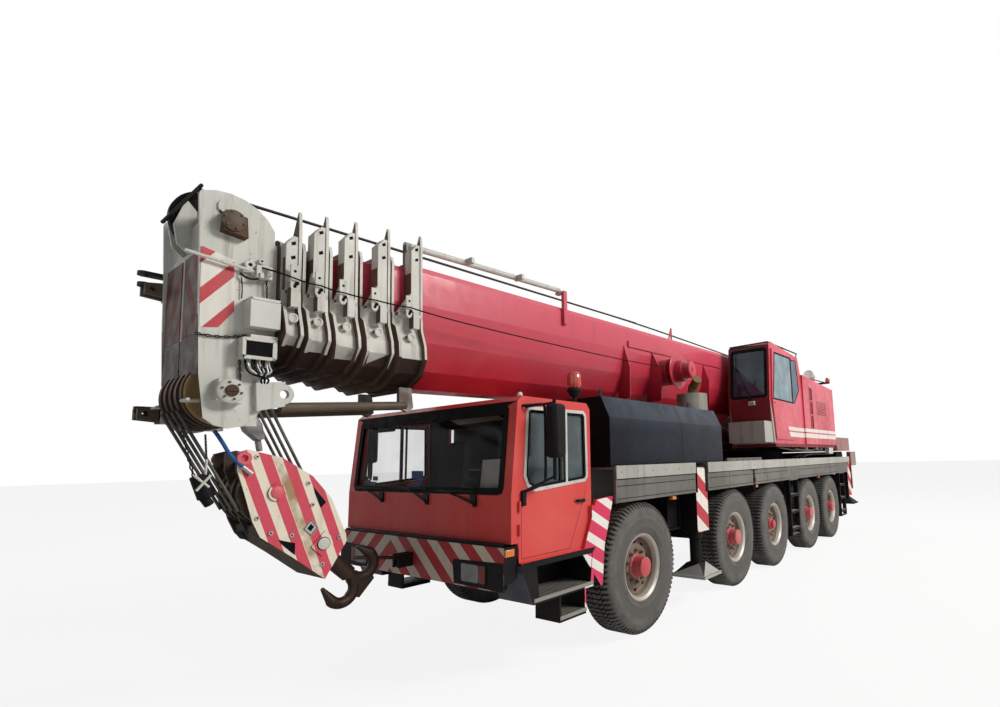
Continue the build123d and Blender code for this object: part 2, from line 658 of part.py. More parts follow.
# ------------------------------------------------------------------ machine housing
HOUSE_X0, HOUSE_X1 = -5380, -2960 - FIT
HOUSE_SIDE = [
    (HOUSE_X1, PLATFORM_Z + FIT),
    (HOUSE_X1, 3500),
    (HOUSE_X0, 3395),
    (HOUSE_X0, PLATFORM_Z + FIT),
]
HOUSE_INNER = [
    (HOUSE_X1 - 25, PLATFORM_Z - 10),
    (HOUSE_X1 - 25, 3474),
    (HOUSE_X0 + 25, 3371),
    (HOUSE_X0 + 25, PLATFORM_Z - 10),
]
housing = side_plate(HOUSE_SIDE, CC_Y0, HOUSE_Y) - side_plate(HOUSE_INNER, CC_Y0 + 25, HOUSE_Y - 25)
for z0, z1 in ((3010, 3260), (2710, 2970), (2400, 2670)):
    housing = housing - box(-3590, -3370, HOUSE_Y - 12, HOUSE_Y + 5, z0, z1)
# work lamp on its bracket, and the warning beacon on its cross bar
housing = housing + rod((-4000, 1200, 3430), (-4150, 1200, 3600), 18)
housing = housing + rod((-4200, 1200, 3600), (-4060, 1200, 3650), 105)
housing = housing + rod((-5330, 1000, 3380), (-5330, 1000, 3610), 16)
housing = housing + rod((-5330, 650, 3590), (-5330, 1340, 3590), 18)
housing = housing + upright(-5330, 930, 3590, 3760, 60)
# tank on the right side of the platform
tank = box(-4600, -2300, -HOUSE_Y + 60, -CC_Y0, PLATFORM_Z + FIT, 2860)
tank = tank - box(-4580, -2320, -HOUSE_Y + 80, -CC_Y0 - 20, PLATFORM_Z - 10, 2840)
save(Compound(children=[housing, tank]), "machine_housing")

# ------------------------------------------------------------------ counterweight and winch
tail = upright(SLEW_X, 0, 1925, 2250, TAIL_R)
weight = tail & box(-7100, HOUSE_X0 - 30, -HOUSE_Y, HOUSE_Y, 1925, 2250)
weight = weight - box(-5600 - FIT, HOUSE_X0, -PLATE_Y - 30 - FIT, PLATE_Y + 30 + FIT, 1920, 2260)
save(weight, "counterweight")

drum = across(-5350, 2450, -400, 400, 170)
for y in (-400, 380):
    drum = drum + across(-5350, 2450, y, y + 20, 240)
drum = drum + across(-5350, 2450, -PLATE_Y + FIT, PLATE_Y - FIT, 60)
save(drum, "winch_drum")

# ------------------------------------------------------------------ boom
BOOM_DEPTH = (BOOM_CREASE - BOOM_LOW) / math.sin(math.radians(BEND_ANGLES[-1]))


def tube_outline(inset):
    """Boom section: straight upper sides, lower half bent in flats about an oval."""
    h = BOOM_HALF - inset
    t = BOOM_TOP - inset
    right = [(h - 60, t), (h - 12, t - 20), (h, t - 70)]
    for angle in BEND_ANGLES:
        a = math.radians(angle)
        right.append((h * math.cos(a), BOOM_CREASE - (BOOM_DEPTH - inset) * math.sin(a)))
    return mirrored(right)


def tube(inset, s0, s1):
    return cross_plate(tube_outline(inset), s0, s1)


COLLAR_Y = 505                 # half width over a collar at its waist
SHELF_T = 258                  # waist level, where the lower half widens
FLANGE = 22


def collar(i, s0, width):
    """Stiff end ring of a section: two flanges, a recessed web below, a narrow box and fins above."""
    rise = 30 * i
    low = BOOM_LOW - 45 + rise
    top = BOOM_TOP - 34 * i
    web_y = COLLAR_Y - 45
    flange_low = [
        (COLLAR_Y, SHELF_T),
        (COLLAR_Y + 8, 120),
        (COLLAR_Y + 60, -30),
        (COLLAR_Y + 70, -150 + rise / 2),
        (COLLAR_Y, -290 + rise),
        (300, low),
    ]
    rear_line = [(380, top + 35), (COLLAR_Y - 22, 1015 - 34 * i), (COLLAR_Y - 8, 985 - 34 * i), (COLLAR_Y, 860 - 34 * i)]
    rear = cross_plate(mirrored(rear_line + flange_low), s0, s0 + FLANGE)
    front_line = [(375, top + 20), (430, top - 10), (450, top - 70), (450, SHELF_T - 90)]
    front = cross_plate(mirrored(front_line + flange_low[1:]), s0 + width - FLANGE, s0 + width)
    web_line = [
        (web_y, SHELF_T),
        (web_y, 120),
        (COLLAR_Y + 15, -30),
        (COLLAR_Y + 25, -150 + rise / 2),
        (web_y, -270 + rise),
        (280, low + 35),
    ]
    web = cross_plate(mirrored(web_line), s0 + 1, s0 + width - 1)
    parts = [rear, front, web]
    post_w = min(110, width - 15)
    for s in (1, -1):
        parts.append(box(s0 + 1, s0 + post_w, s * 380, s * (COLLAR_Y - 8), SHELF_T - 5, 640 - 34 * i))
        parts.append(box(s0 + 1, s0 + width - 30, s * 440, s * COLLAR_Y, SHELF_T - 25, SHELF_T))
        parts.append(across(s0 + width * 0.5, 40, s * web_y, s * (COLLAR_Y + 30), 30))
        guide = box(s0 + width * 0.25, s0 + width * 0.25 + 60, s * (COLLAR_Y - 10), s * (COLLAR_Y + 55), 120, 265)
        parts.append(guide)
    return fuse(parts)


def gusset(s0, spread):
    """Plate across the boom that fills out its bent lower side."""
    line = [
        (300, BOOM_CREASE + 60),
        (BOOM_HALF + 10, BOOM_CREASE + 60),
        (BOOM_HALF + spread, 150),
        (BOOM_HALF + spread - 20, BOOM_LOW + 60),
        (300, BOOM_LOW + 40),
    ]
    return cross_plate(line, s0, s0 + 15)


def head():
    """Twin side plates with the sheave axles, front and rear plates and the jib lugs."""
    side_line = [(11675, 190), (11675, -120), (11700, -270), (11760, -380), (11795, -560)]
    side_line = side_line + arc_points(11936, -560, 200, 200, 320, 5)
    side_line = side_line + [(12124, -400), (12140, 0), (12150, 430), (12166, 830)]
    side_line = side_line + arc_points(12000, 560, 335, 62, 155, 6)
    parts = []
    for s in (1, -1):
        parts.append(side_plate(side_line, s * HEAD_Y, s * (HEAD_Y - 25)))
        # rear lug with its eye
        eye = side_plate([(11800, -440), (11610, -420), (11610, -600), (11790, -640)], s * (HEAD_Y - 1), s * (HEAD_Y + 45))
        eye = eye + across(11625, -512, s * (HEAD_Y - 1), s * (HEAD_Y + 45), 75)
        eye = eye - across(11615, -512, s * (HEAD_Y - 10), s * (HEAD_Y + 60), 32)
        parts.append(eye)
        for t in (TOP_SHEAVE[1] - 120, HEAD_SHEAVE[1]):
            parts.append(side_plate([(11890, t - 85), (12040, t - 65), (12030, t + 80), (11900, t + 60)],
                                    s * (HEAD_Y - 1), s * (HEAD_Y + 75)))
    parts.append(box(11676, 11705, -HEAD_Y, HEAD_Y, -190, 600) - box(11650, 11710, -200, 200, 0, 400))
    parts.append(box(12090, 12122, -HEAD_Y, HEAD_Y, -330, 500))
    parts.append(across(*HEAD_SHEAVE, -HEAD_Y - 30, HEAD_Y + 30, 70))
    parts.append(across(*TOP_SHEAVE, -HEAD_Y - 15, HEAD_Y + 15, 60))
    # fairing plates each side of the top sheave
    for s in (1, -1):
        parts.append(side_plate([(12100, 480), (12190, 560), (12215, 700), (12150, 900), (12060, 800)], s * 45, s * 70))
        parts.append(box(12080, 12110, s * 45, s * (HEAD_Y - 5), 460, 700))
    # box and load display on the left plate
    parts.append(side_plate([(11690, -60), (11880, -60), (11880, 130), (11690, 130)], HEAD_Y - 1, HEAD_Y + 130))
    parts.append(box(11690, 11860, HEAD_Y - 1, HEAD_Y + 90, -270, -110))
    parts.append(rod((11800, HEAD_Y + 40, 350), (12240, HEAD_Y + 40, 400), 12))
    parts.append(box(11730, 11830, HEAD_Y - 1, HEAD_Y + 70, 310, 400))
    # forked lugs for the jib on the right side
    for t in (330, -610):
        parts.append(box(12000, 12120, -545, -HEAD_Y + 1, t - 70, t + 70))
        for y in (-HEAD_Y - 45, -545):
            lug = side_plate([(12090, t - 60), (12090, t + 60), (12250, t + 40), (12250, t - 40)], y, y + 40)
            parts.append(lug - across(12205, t, y - 5, y + 45, 20))
    return fuse(parts)


def luff_lug():
    """Twin lugs under the base section, each with its half of the luffing cylinder's pin."""
    s, t = LUFF_LUG
    line = [(s - 500, BOOM_LOW + 30), (s + 300, BOOM_LOW + 30), (s + 90, t - 60), (s - 90, t - 60)]
    parts = []
    for side in (1, -1):
        parts.append(side_plate(line, side * 130, side * 165))
        parts.append(across(s, t, side * 116, side * 180, 50))
    return parts


def base_fittings():
    """Cable reel, gussets, conduit and pipe brackets of the base section."""
    reel_s, reel_t = 6185, 150
    parts = [
        across(reel_s + 20, reel_t, BOOM_HALF - 60, 620, 200),
        across(reel_s, reel_t, 610, 740, 90),
        across(reel_s, reel_t, 715, 735, 260),
        across(reel_s, reel_t, 734, 850, 165),
        across(reel_s, reel_t, 849, 960, 125),
        box(4000, 7080, BOOM_HALF - 2, BOOM_HALF + 22, 455, 495),
        box(7070, 7090, BOOM_HALF - 2, BOOM_HALF + 22, 455, 540),
    ]
    for s0, spread in ((7180, 95), (6430, 160), (4700, 110)):
        for side in (1, -1):
            plate = gusset(s0, spread)
            parts.append(plate if side > 0 else mirror(plate, about=Plane.XZ))
    # bracket of the top pipe, and the low hoop
    parts.append(box(8440, 8500, BOOM_HALF - 2, BOOM_HALF + 40, 540, 960))
    parts.append(box(8440, 8500, BOOM_HALF - 100, BOOM_HALF + 40, 930, 960))
    parts.append(rod((8470, BOOM_HALF - 60, 985), (10600, BOOM_HALF - 60, 940), 30))
    parts.append(box(10530, 10600, BOOM_HALF - 90, BOOM_HALF - 30, 760, 960))
    parts.append(rod((5660, 340, 760), (5690, 360, 960), 14))
    parts.append(rod((5750, 340, 760), (5690, 360, 960), 14))
    # stowage of the folding jib: two legs under the collars, clear of the hook block between them
    leg_y = 330
    for side in (1, -1):
        bracket = [(10520, -380), (10640, -380), (10640, -560), (10560, -600), (10500, -560)]
        parts.append(side_plate(bracket, side * (leg_y - 20), side * (leg_y + 20)))
        parts.append(rod((10570, side * leg_y, -540), (11600, side * leg_y, -600), 38))
    return parts


for i, (name, inset, s_collar, width) in enumerate(SECTIONS):
    s_rear = -350 if i == 0 else 190 + 40 * i
    inside = tube(inset + TUBE_WALL, s_rear - 1, s_collar + 300)
    tube_end = s_collar + 10
    body = tube(inset, s_rear, tube_end)
    if i == 0:
        body = fuse([body] + base_fittings() + luff_lug())
    body = body - inside
    if i > 0:
        pad = tube(SECTIONS[i - 1][1] + TUBE_WALL + FIT, s_rear, s_rear + 60)
        body = body + (pad - inside)
    if i < len(SECTIONS) - 1:
        ring = collar(i, s_collar, width)
        body = body + (ring - tube(SECTIONS[i + 1][1] - FIT, s_collar - 1, s_collar + width + 1))
    else:
        body = body + head()
    if i == 0:
        body = body + across(0, 0, -430, 430, 170)
        body = body - across(0, 0, -440, 440, 90 + FIT)
    save(on_boom(body), name)

# ------------------------------------------------------------------ luffing cylinder
lug_x, lug_z = boom_point(*LUFF_LUG)
dx, dz = lug_x - LUFF_FOOT[0], lug_z - LUFF_FOOT[1]
pin_to_pin = math.hypot(dx, dz)
cylinder_tilt = math.degrees(math.atan2(dz, dx))


def on_cylinder(shape):
    return Pos(LUFF_FOOT[0], 0, LUFF_FOOT[1]) * Rot(0, -cylinder_tilt, 0) * shape


barrel = rod((60, 0, 0), (2850, 0, 0), 130) + across(0, 0, -120, 120, 120)
barrel = barrel - across(0, 0, -150, 150, 60 + FIT) - rod((200, 0, 0), (2900, 0, 0), 90 + FIT)
save(on_cylinder(barrel), "luff_cylinder_barrel")
piston = rod((230, 0, 0), (pin_to_pin - 50, 0, 0), 90) + across(pin_to_pin, 0, -110, 110, 110)
piston = piston - across(pin_to_pin, 0, -200, 200, 50 + 6)
save(on_cylinder(piston), "luff_cylinder_rod")


# ------------------------------------------------------------------ head sheaves
def sheave(x, z, y, bore):
    disc = across(x, z, y - 24, y + 24, SHEAVE_R)
    return disc - across(x, z, y - 30, y + 30, bore + FIT)


sheaves = [sheave(*HEAD_SHEAVE, y, 70) for y in HEAD_SHEAVE_Y]
top_sheave = sheave(*TOP_SHEAVE, 0, 60)
save(on_boom(Compound(children=sheaves + [top_sheave])), "head_sheaves")

# ------------------------------------------------------------------ hook block, tied back towards the bumper
# drawn hanging straight down from the head sheaves' axle: e forward, d down
BLOCK_TILT = 37
BLOCK_Y = 240                  # outer faces of the cheek plates
BLOCK_E, BLOCK_AXLE = 114, 793  # sheave axle of the block
SHANK_E, SHANK_D = 80, 1339    # crosshead that the hook turns in
BLOCK = [
    (BLOCK_E + 37, BLOCK_AXLE - 398),
    (BLOCK_E - 29, BLOCK_AXLE - 373),
    (BLOCK_E - 176, BLOCK_AXLE - 189),
    (BLOCK_E - 270, BLOCK_AXLE + 68),
    (BLOCK_E - 282, BLOCK_AXLE + 301),
    (SHANK_E - 175, SHANK_D + 67),
    (SHANK_E - 148, SHANK_D + 116),
    (SHANK_E + 144, SHANK_D + 235),
    (SHANK_E + 220, SHANK_D - 75),
    (BLOCK_E + 263, BLOCK_AXLE + 194),
    (BLOCK_E + 239, BLOCK_AXLE + 73),
    (BLOCK_E + 150, BLOCK_AXLE - 173),
    (BLOCK_E + 108, BLOCK_AXLE - 297),
]
FRONT_PLATE = [
    (BLOCK_E + 226, BLOCK_AXLE + 127),
    (BLOCK_E + 263, BLOCK_AXLE + 194),
    (SHANK_E + 220, SHANK_D - 75),
    (SHANK_E + 144, SHANK_D + 235),
    (SHANK_E + 118, SHANK_D + 225),
    (SHANK_E + 192, SHANK_D - 80),
    (BLOCK_E + 235, BLOCK_AXLE + 190),
    (BLOCK_E + 208, BLOCK_AXLE + 135),
]
BLOCK_SHEAVE_Y = [-171, -57, 57, 171]
sheave_x, sheave_z = boom_point(*HEAD_SHEAVE)


def hang(shape):
    """From the hanging frame (z = -d) to the tied-back place."""
    return Pos(sheave_x, 0, sheave_z) * Rot(0, BLOCK_TILT, 0) * shape


HOOK_TILT = 47                 # the hook leans back further than its block
HOOK_LEAN = HOOK_TILT - BLOCK_TILT


def at_shank(shape):
    """From the hook's own frame, crosshead at its origin and shank down, to the hanging frame."""
    return Pos(SHANK_E, 0, -SHANK_D) * Rot(0, HOOK_LEAN, 0) * shape


block_parts = []
cheek_line = [(e, -d) for e, d in BLOCK]
for y in (-BLOCK_Y, -15, BLOCK_Y - 30):
    block_parts.append(side_plate(cheek_line, y, y + 30))
block_parts.append(side_plate([(e, -d) for e, d in FRONT_PLATE], -BLOCK_Y, BLOCK_Y))
block_parts.append(across(BLOCK_E, -BLOCK_AXLE, -BLOCK_Y - 15, BLOCK_Y + 15, 60))
block_parts.append(across(BLOCK_E - 10, -BLOCK_AXLE - 350, -BLOCK_Y, BLOCK_Y, 28))
block_parts.append(across(BLOCK_E, -BLOCK_AXLE + 290, -BLOCK_Y, BLOCK_Y, 28))
block_parts.append(at_shank(Box(150, 2 * BLOCK_Y + 20, 120)))
for y in BLOCK_SHEAVE_Y:
    block_parts.append(across(BLOCK_E, -BLOCK_AXLE, y - 26, y + 26, SHEAVE_R))
block = fuse(block_parts)
block = block - at_shank(rod((0, 0, 70), (0, 0, -400), 50 + FIT))
block = block - at_shank(Pos(0, 0, 110) * Cylinder(85, 100))
block = block - at_shank(rod((0, 0, -62), (0, 0, -400), 72))
save(hang(block), "hook_block")

# hoist rope: each fall runs from a head sheave's rim to a block sheave's rim
reach = SHEAVE_R + ROPE_R + FIT
apart = math.hypot(BLOCK_E, BLOCK_AXLE)
off_e, off_z = reach * BLOCK_AXLE / apart, reach * BLOCK_E / apart
falls = []
for k, y in enumerate(BLOCK_SHEAVE_Y):
    for side in (1, -1):
        y_head = HEAD_SHEAVE_Y[k] if side > 0 else HEAD_SHEAVE_Y[k + 1]
        start = (side * off_e, y_head, side * off_z)
        end = (BLOCK_E + side * off_e, y, -BLOCK_AXLE + side * off_z)
        falls.append(rod(start, end, ROPE_R))
save(hang(Compound(children=falls)), "hoist_ropes")

# double hook on its shank, with the nut on top of the crosshead
HORN_R = 110
HORN_T = 46
HORN_D = 500                   # level of the horns below the crosshead
hook = rod((0, 0, 100), (0, 0, -HORN_D - 80), 50)
hook = hook + rod((0, 0, 60 + FIT), (0, 0, 110), 78)
hook = hook + rod((0, 0, -75), (0, 0, -HORN_D + 40), 66)
for s in (1, -1):
    start = (s * 15, 0, -HORN_D)
    middle = (s * (15 + HORN_R), 0, -HORN_D - HORN_R)
    end = (s * (15 + 2 * HORN_R), 0, -HORN_D)
    horn = sweep(Plane(origin=start, z_dir=(0, 0, -1)) * Circle(HORN_T), path=ThreePointArc(start, middle, end))
    tip = Solid.make_cone(HORN_T, 14, 145, Plane(origin=end, z_dir=(-s * 0.2, 0, 1)))
    hook = hook + horn + tip + Pos(*end) * Sphere(HORN_T)
# thickened crown between the two horns
hook = hook + side_plate([(-130, -HORN_D - 75), (130, -HORN_D - 75), (95, -HORN_D - 165), (-95, -HORN_D - 165)], -40, 40)
save(hang(at_shank(hook)), "hook")
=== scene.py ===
import math
from functools import partial
import bmesh
import bpy
from mathutils import Matrix, Vector


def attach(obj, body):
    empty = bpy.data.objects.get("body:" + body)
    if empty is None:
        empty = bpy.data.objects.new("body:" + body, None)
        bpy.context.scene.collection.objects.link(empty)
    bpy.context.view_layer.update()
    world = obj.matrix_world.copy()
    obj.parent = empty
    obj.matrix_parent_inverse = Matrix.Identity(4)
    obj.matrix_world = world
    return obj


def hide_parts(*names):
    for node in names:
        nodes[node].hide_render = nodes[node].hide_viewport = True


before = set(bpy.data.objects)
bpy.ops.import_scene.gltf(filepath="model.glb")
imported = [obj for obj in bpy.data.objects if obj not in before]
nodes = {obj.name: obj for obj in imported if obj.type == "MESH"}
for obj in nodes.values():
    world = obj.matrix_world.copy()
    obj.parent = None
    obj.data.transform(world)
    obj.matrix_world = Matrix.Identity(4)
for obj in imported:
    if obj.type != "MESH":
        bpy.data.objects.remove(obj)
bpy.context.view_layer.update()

# ------------------------------------------------------------------ the crane's own places, in metres
BOOM_SLOPE = math.radians(1.35)
BOOM = Matrix.Translation((-5.0, 0, 3.15)) @ Matrix.Rotation(BOOM_SLOPE, 4, "Y")
HEAD_AXLE = (11.936, 0, -0.511)
HANG = Matrix.Translation(BOOM @ Vector(HEAD_AXLE)) @ Matrix.Rotation(math.radians(37), 4, "Y")
AXLES = {"1": 3.3, "2": 0.8, "3": -0.85, "4": -2.9, "5": -4.55}
AXLE_Z, WHEEL_Y = 0.685, 1.1875
SIDES = (("left", 1), ("right", -1))
COLLARS = [(10.51, 0.27), (10.828, 0.238), (11.114, 0.2), (11.35, 0.165), (11.548, 0.122)]
SECTION_BODIES = ("boom_base", "boom_section_1", "boom_section_2", "boom_section_3", "boom_section_4")
CARRIER, UPPER, TIP, BLOCK_BODY = "carrier", "superstructure", "boom_tip", "hook_block"
TINY = 1e-6    # spots nearer than this are one
LINK_PITCH, LINK_WIDE, LINK_WIRE = 0.72, 0.62, 0.13    # shares of a chain link's length


# ------------------------------------------------------------------ node helpers
def tone(code):
    """An sRGB hex colour as linear red, green, blue and alpha."""
    parts = [int(code[k:k + 2], 16) / 255 for k in (0, 2, 4)]
    return (*[c / 12.92 if c <= 0.04045 else ((c + 0.055) / 1.055) ** 2.4 for c in parts], 1.0)


def feed(tree, node, values):
    """Links a socket, or sets a plain value, to each named input."""
    for key, value in values.items():
        if isinstance(value, bpy.types.NodeSocket):
            tree.links.new(value, node.inputs[key])
        else:
            node.inputs[key].default_value = value


def add(tree, kind, values=None, out=0, **settings):
    """Adds one node with its settings and inputs, and hands back one output."""
    made = tree.nodes.new(kind)
    for name, value in settings.items():
        setattr(made, name, value)
    feed(tree, made, values or {})
    return made.outputs[out]


def maths(tree, operation, *values):
    return add(tree, "ShaderNodeMath", dict(enumerate(values)), operation=operation)


def vectors(tree, operation, *values, out=0):
    return add(tree, "ShaderNodeVectorMath", dict(enumerate(values)), out, operation=operation)


def noise(tree, place, scale, detail=2.0, roughness=0.5):
    return add(tree, "ShaderNodeTexNoise",
        {"Vector": place, "Scale": scale, "Detail": detail, "Roughness": roughness})


def blend(tree, share, under, over):
    return add(tree, "ShaderNodeMix", {0: share, 6: under, 7: over}, 2, data_type="RGBA")


def spread(tree, value, low, high, to_low=0.0, to_high=1.0):
    return add(tree, "ShaderNodeMapRange", {0: value, 1: low, 2: high, 3: to_low, 4: to_high})


def start_finish(name):
    """An empty material; its tree, its shader and the surface position in metres."""
    made = bpy.data.materials.new(name)
    made.use_nodes = True
    tree = made.node_tree
    return made, tree, tree.nodes["Principled BSDF"], add(tree, "ShaderNodeTexCoord", out="Object")


# ------------------------------------------------------------------ finishes
def weathered(name, colours, streaks, gloss, dust=0.0, chips=0.35, metal=0.0, relief=0.12, dusty_below=1.3,
        bands=None, height_tone=None, coat=0.0, shine=0.38):
    """Paint or metal after years of work: faded patches, run-off streaks, chips, road dust low down.
    The colours are fresh, faded and grime. A colour blended in by height takes from and to height, share
    and colour: grime on the collars, painted shade low on the boom, a painted reflection high on the hood."""
    made, tree, shader, place = start_finish(name)
    fresh, faded, grime = map(tone, (colours + " 4A3B30").split()[:3])
    base = blend(tree, spread(tree, noise(tree, place, 1.1, 3.0), 0.38, 0.66), fresh, faded)
    if bands:
        base = bands(tree, place, base)
    # streaks of 40 to 80 mm width that run down the panels
    run = add(tree, "ShaderNodeMapping", {"Vector": place, "Scale": (13.0, 13.0, 0.8)})
    base = blend(tree, spread(tree, noise(tree, run, 1.0, 5.0, 0.6), 0.54, 0.78, 0.0, streaks), base, grime)
    # chips of 5 to 20 mm
    chip = spread(tree, noise(tree, place, 34.0, 4.0, 0.65), 0.66, 0.71, 0.0, chips)
    base = blend(tree, chip, base, grime)
    height = add(tree, "ShaderNodeSeparateXYZ", {0: place}, 2)
    if height_tone:
        start, end, share, colour = height_tone
        mottled = spread(tree, noise(tree, place, 5.0, 5.0), 0.3, 0.6, 0.25, 1.0)
        near = maths(tree, "MULTIPLY", spread(tree, height, start, end, 0.0, share), mottled)
        base = blend(tree, near, base, tone(colour))
    settled = maths(tree, "MULTIPLY", spread(tree, height, 0.3, dusty_below, 1.0, 0.0),
        spread(tree, noise(tree, place, 4.5, 6.0), 0.35, 0.7))
    base = blend(tree, maths(tree, "MULTIPLY", settled, dust), base, tone("A59B8E"))
    fine = noise(tree, place, 9.0, 8.0)
    dent = add(tree, "ShaderNodeBump", {"Strength": relief, "Distance": 0.01,
        "Height": maths(tree, "SUBTRACT", fine, chip)})
    feed(tree, shader, {"Base Color": base, "Roughness": spread(tree, fine, 0.3, 0.7, gloss, gloss + 0.2),
        "Normal": dent, "Metallic": metal, "Specular IOR Level": shine, "Coat Weight": coat,
        "Coat Roughness": 0.12})
    return made


def stripes(place, normal, start, pitch, share, first, second, fold=False, stain=None):
    """Stripes square to the normal in the board's own frame; the first colour takes its share."""
    def bands(tree, spot, under):
        spot = vectors(tree, "SUBTRACT", spot, place.translation)
        if fold:
            spot = vectors(tree, "ABSOLUTE", spot)
        along = vectors(tree, "DOT_PRODUCT", spot, place.to_3x3() @ Vector(normal), out="Value")
        part = maths(tree, "FRACT", maths(tree, "MULTIPLY_ADD", along, 1 / pitch, -start / pitch))
        result = blend(tree, spread(tree, part, share - 0.01, share + 0.01), tone(first), tone(second))
        if stain:
            middle, half, colour = stain
            mottle = spread(tree, noise(tree, spot, 6.0, 5.0), 0.35, 0.6, 0.0, 0.85)
            near = maths(tree, "MULTIPLY", maths(tree, "COMPARE", along, middle, half), mottle)
            result = blend(tree, near, result, tone(colour))
        return result
    return bands


def boom_paler_upwards(tree, place, under):
    """Paler, pinker red towards the top of the boom's sides, deeper red on the lower flats."""
    across = vectors(tree, "DOT_PRODUCT", place, (math.sin(BOOM_SLOPE), 0, 1), out="Value")
    return blend(tree, spread(tree, across, 2.75, 3.75), under, tone("CF4A60"))


def white_bands(tree, place, under):
    """Two white bands sprayed low along the outer side of crane cab, door and housing."""
    x, y, z = (add(tree, "ShaderNodeSeparateXYZ", {0: place}, k) for k in range(3))
    both = maths(tree, "MAXIMUM", maths(tree, "COMPARE", z, 2.24, 0.044),
        maths(tree, "COMPARE", z, 2.35, 0.035))
    for value, limit in ((y, 1.33), (maths(tree, "MULTIPLY_ADD", z, 0.5, -3.06), x)):
        both = maths(tree, "MULTIPLY", both, maths(tree, "GREATER_THAN", value, limit))
    return blend(tree, both, under, tone("DAD8D0"))


# two-pack red paint on plate: faded satin, paler and pinker towards the top, brown run-off, and a dark red
# band of painted shade along the bottom
boom_red_and_shade = weathered("red_boom_paint_and_painted_shade", "A9182A BB2638", 0.2, 0.3, bands=boom_paler_upwards,
    height_tone=(2.75, 2.45, 0.45, "4A1512"), coat=0.25)
cab_red = weathered("red_paint_carrier_cab", "DA4A47 E25F58 7E2F28", 0.18, 0.3, dust=0.2, chips=0.2,
    dusty_below=1.5, coat=0.1, shine=0.25)
upper_red = weathered("red_paint_superstructure", "BE3345 CF5566 6A2328", 0.28, 0.34, chips=0.25,
    bands=white_bands, coat=0.2)
# dark red paint, also painted shade on the crane cab's forward faces and in the housing's recess behind the
# rungs
dark_red_paint_and_shade = weathered("dark_red_paint_and_painted_shade", "6E141C 84202A", 0.35, 0.45)
hub_red = weathered("red_paint_hub", "C2414C CF5A63 5B2A26", 0.3, 0.42, dust=0.45, chips=0.5)
# cream enamel: chalky, with brown rust run-off
cream = weathered("cream_enamel", "C6C8C0 D9DBD5 63503C", 0.6, 0.4, chips=0.6, relief=0.2)
cream_low = weathered("cream_enamel_collar", "C2C3BB D8D8D1 5C4732", 0.6, 0.42, chips=0.6, relief=0.2,
    height_tone=(2.86, 2.45, 0.95, "4B382A"))
# dark blue gloss enamel of the hood: deep, with soft reflections, and a blue-grey painted reflection
# blended in over its upper part
hood_paint_and_sheen = weathered("midnight_blue_enamel_painted_sheen", "10151F 1B2230 2C2F36", 0.12, 0.12, chips=0.03, relief=0.0,
    height_tone=(2.16, 2.5, 0.5, "556273"), shine=0.12)
# chassis paint: satin black under road dust
chassis = weathered("black_chassis_paint", "0B0B0C 141415 2C2622", 0.3, 0.55, dust=0.12, dusty_below=1.2,
    shine=0.1)
deck_grey = weathered("grey_deck_paint", "62615D 7B7A75 322E29", 0.6, 0.5, dust=0.15, chips=0.4)
strip_grey = weathered("light_grey_edge_strip", "A3A49E B9B9B2 57524A", 0.5, 0.48, dust=0.1, chips=0.5)
ladder_grey = weathered("worn_ladder_paint", "8F8E8A A8A6A0 4D453C", 0.4, 0.5, dust=0.4)
jack_grey = weathered("silver_grey_jack_paint", "A9A9A6 BDBDBA 5A5046", 0.35, 0.42, dust=0.3, metal=0.2)
ballast = weathered("faded_ballast_paint", "8E6A66 A8827E 4F3B35", 0.45, 0.6, chips=0.5)
tan_plate = weathered("tan_marker_plate", "8A7B72 A09084 54453B", 0.4, 0.5)
black_plastic = weathered("black_moulded_plastic", "0E0E10 171719 2A2826", 0.15, 0.45, dust=0.06, chips=0.0,
    relief=0.06, shine=0.14)
# black rubber for seals, leads and hoses, also the painted shade in holes, slots and openings, on the
# hood's front, under the step's slats and across the windscreen's top
black_rubber_and_shade = weathered("black_rubber_and_painted_shade", "080809 0F0F10 1C1A18", 0.1, 0.6, chips=0.0, shine=0.1)
trim = weathered("dark_cab_trim", "0F0E0E 181716 26231F", 0.1, 0.6, chips=0.0, relief=0.2, shine=0.1)
seat_cloth = weathered("black_seat_cloth", "151517 202124 0E0F11", 0.1, 0.85, chips=0.5, relief=0.3)
# bare and rusty steels
rusty = weathered("rusty_steel", "3A281D 5C4029 1D150F", 0.5, 0.55, chips=0.6, metal=0.3, relief=0.4)
hook_steel = weathered("forged_hook_steel", "2B2320 44342C 7A5B45", 0.35, 0.38, chips=0.5, metal=0.55,
    relief=0.35)
zinc = weathered("zinc_plated_steel", "A5A6A4 B9BAB7 5D564D", 0.3, 0.3, dust=0.1, metal=0.8)
rim_silver = weathered("silver_rim_paint", "A8A49C C3BFB6 5E4F42", 0.3, 0.36, dust=0.35, chips=0.5,
    metal=0.35)
# browner, darker disc of the rim: dust and painted shade
rim_disc_dust_and_shade = weathered("dusty_rim_disc_painted_shade", "63574B 827466 3C3129", 0.4, 0.6, dust=0.3, chips=0.5)
wire_rope = weathered("greased_wire_rope", "2A2826 3B3734 16130F", 0.3, 0.4, chips=0.7, metal=0.6,
    relief=0.6)
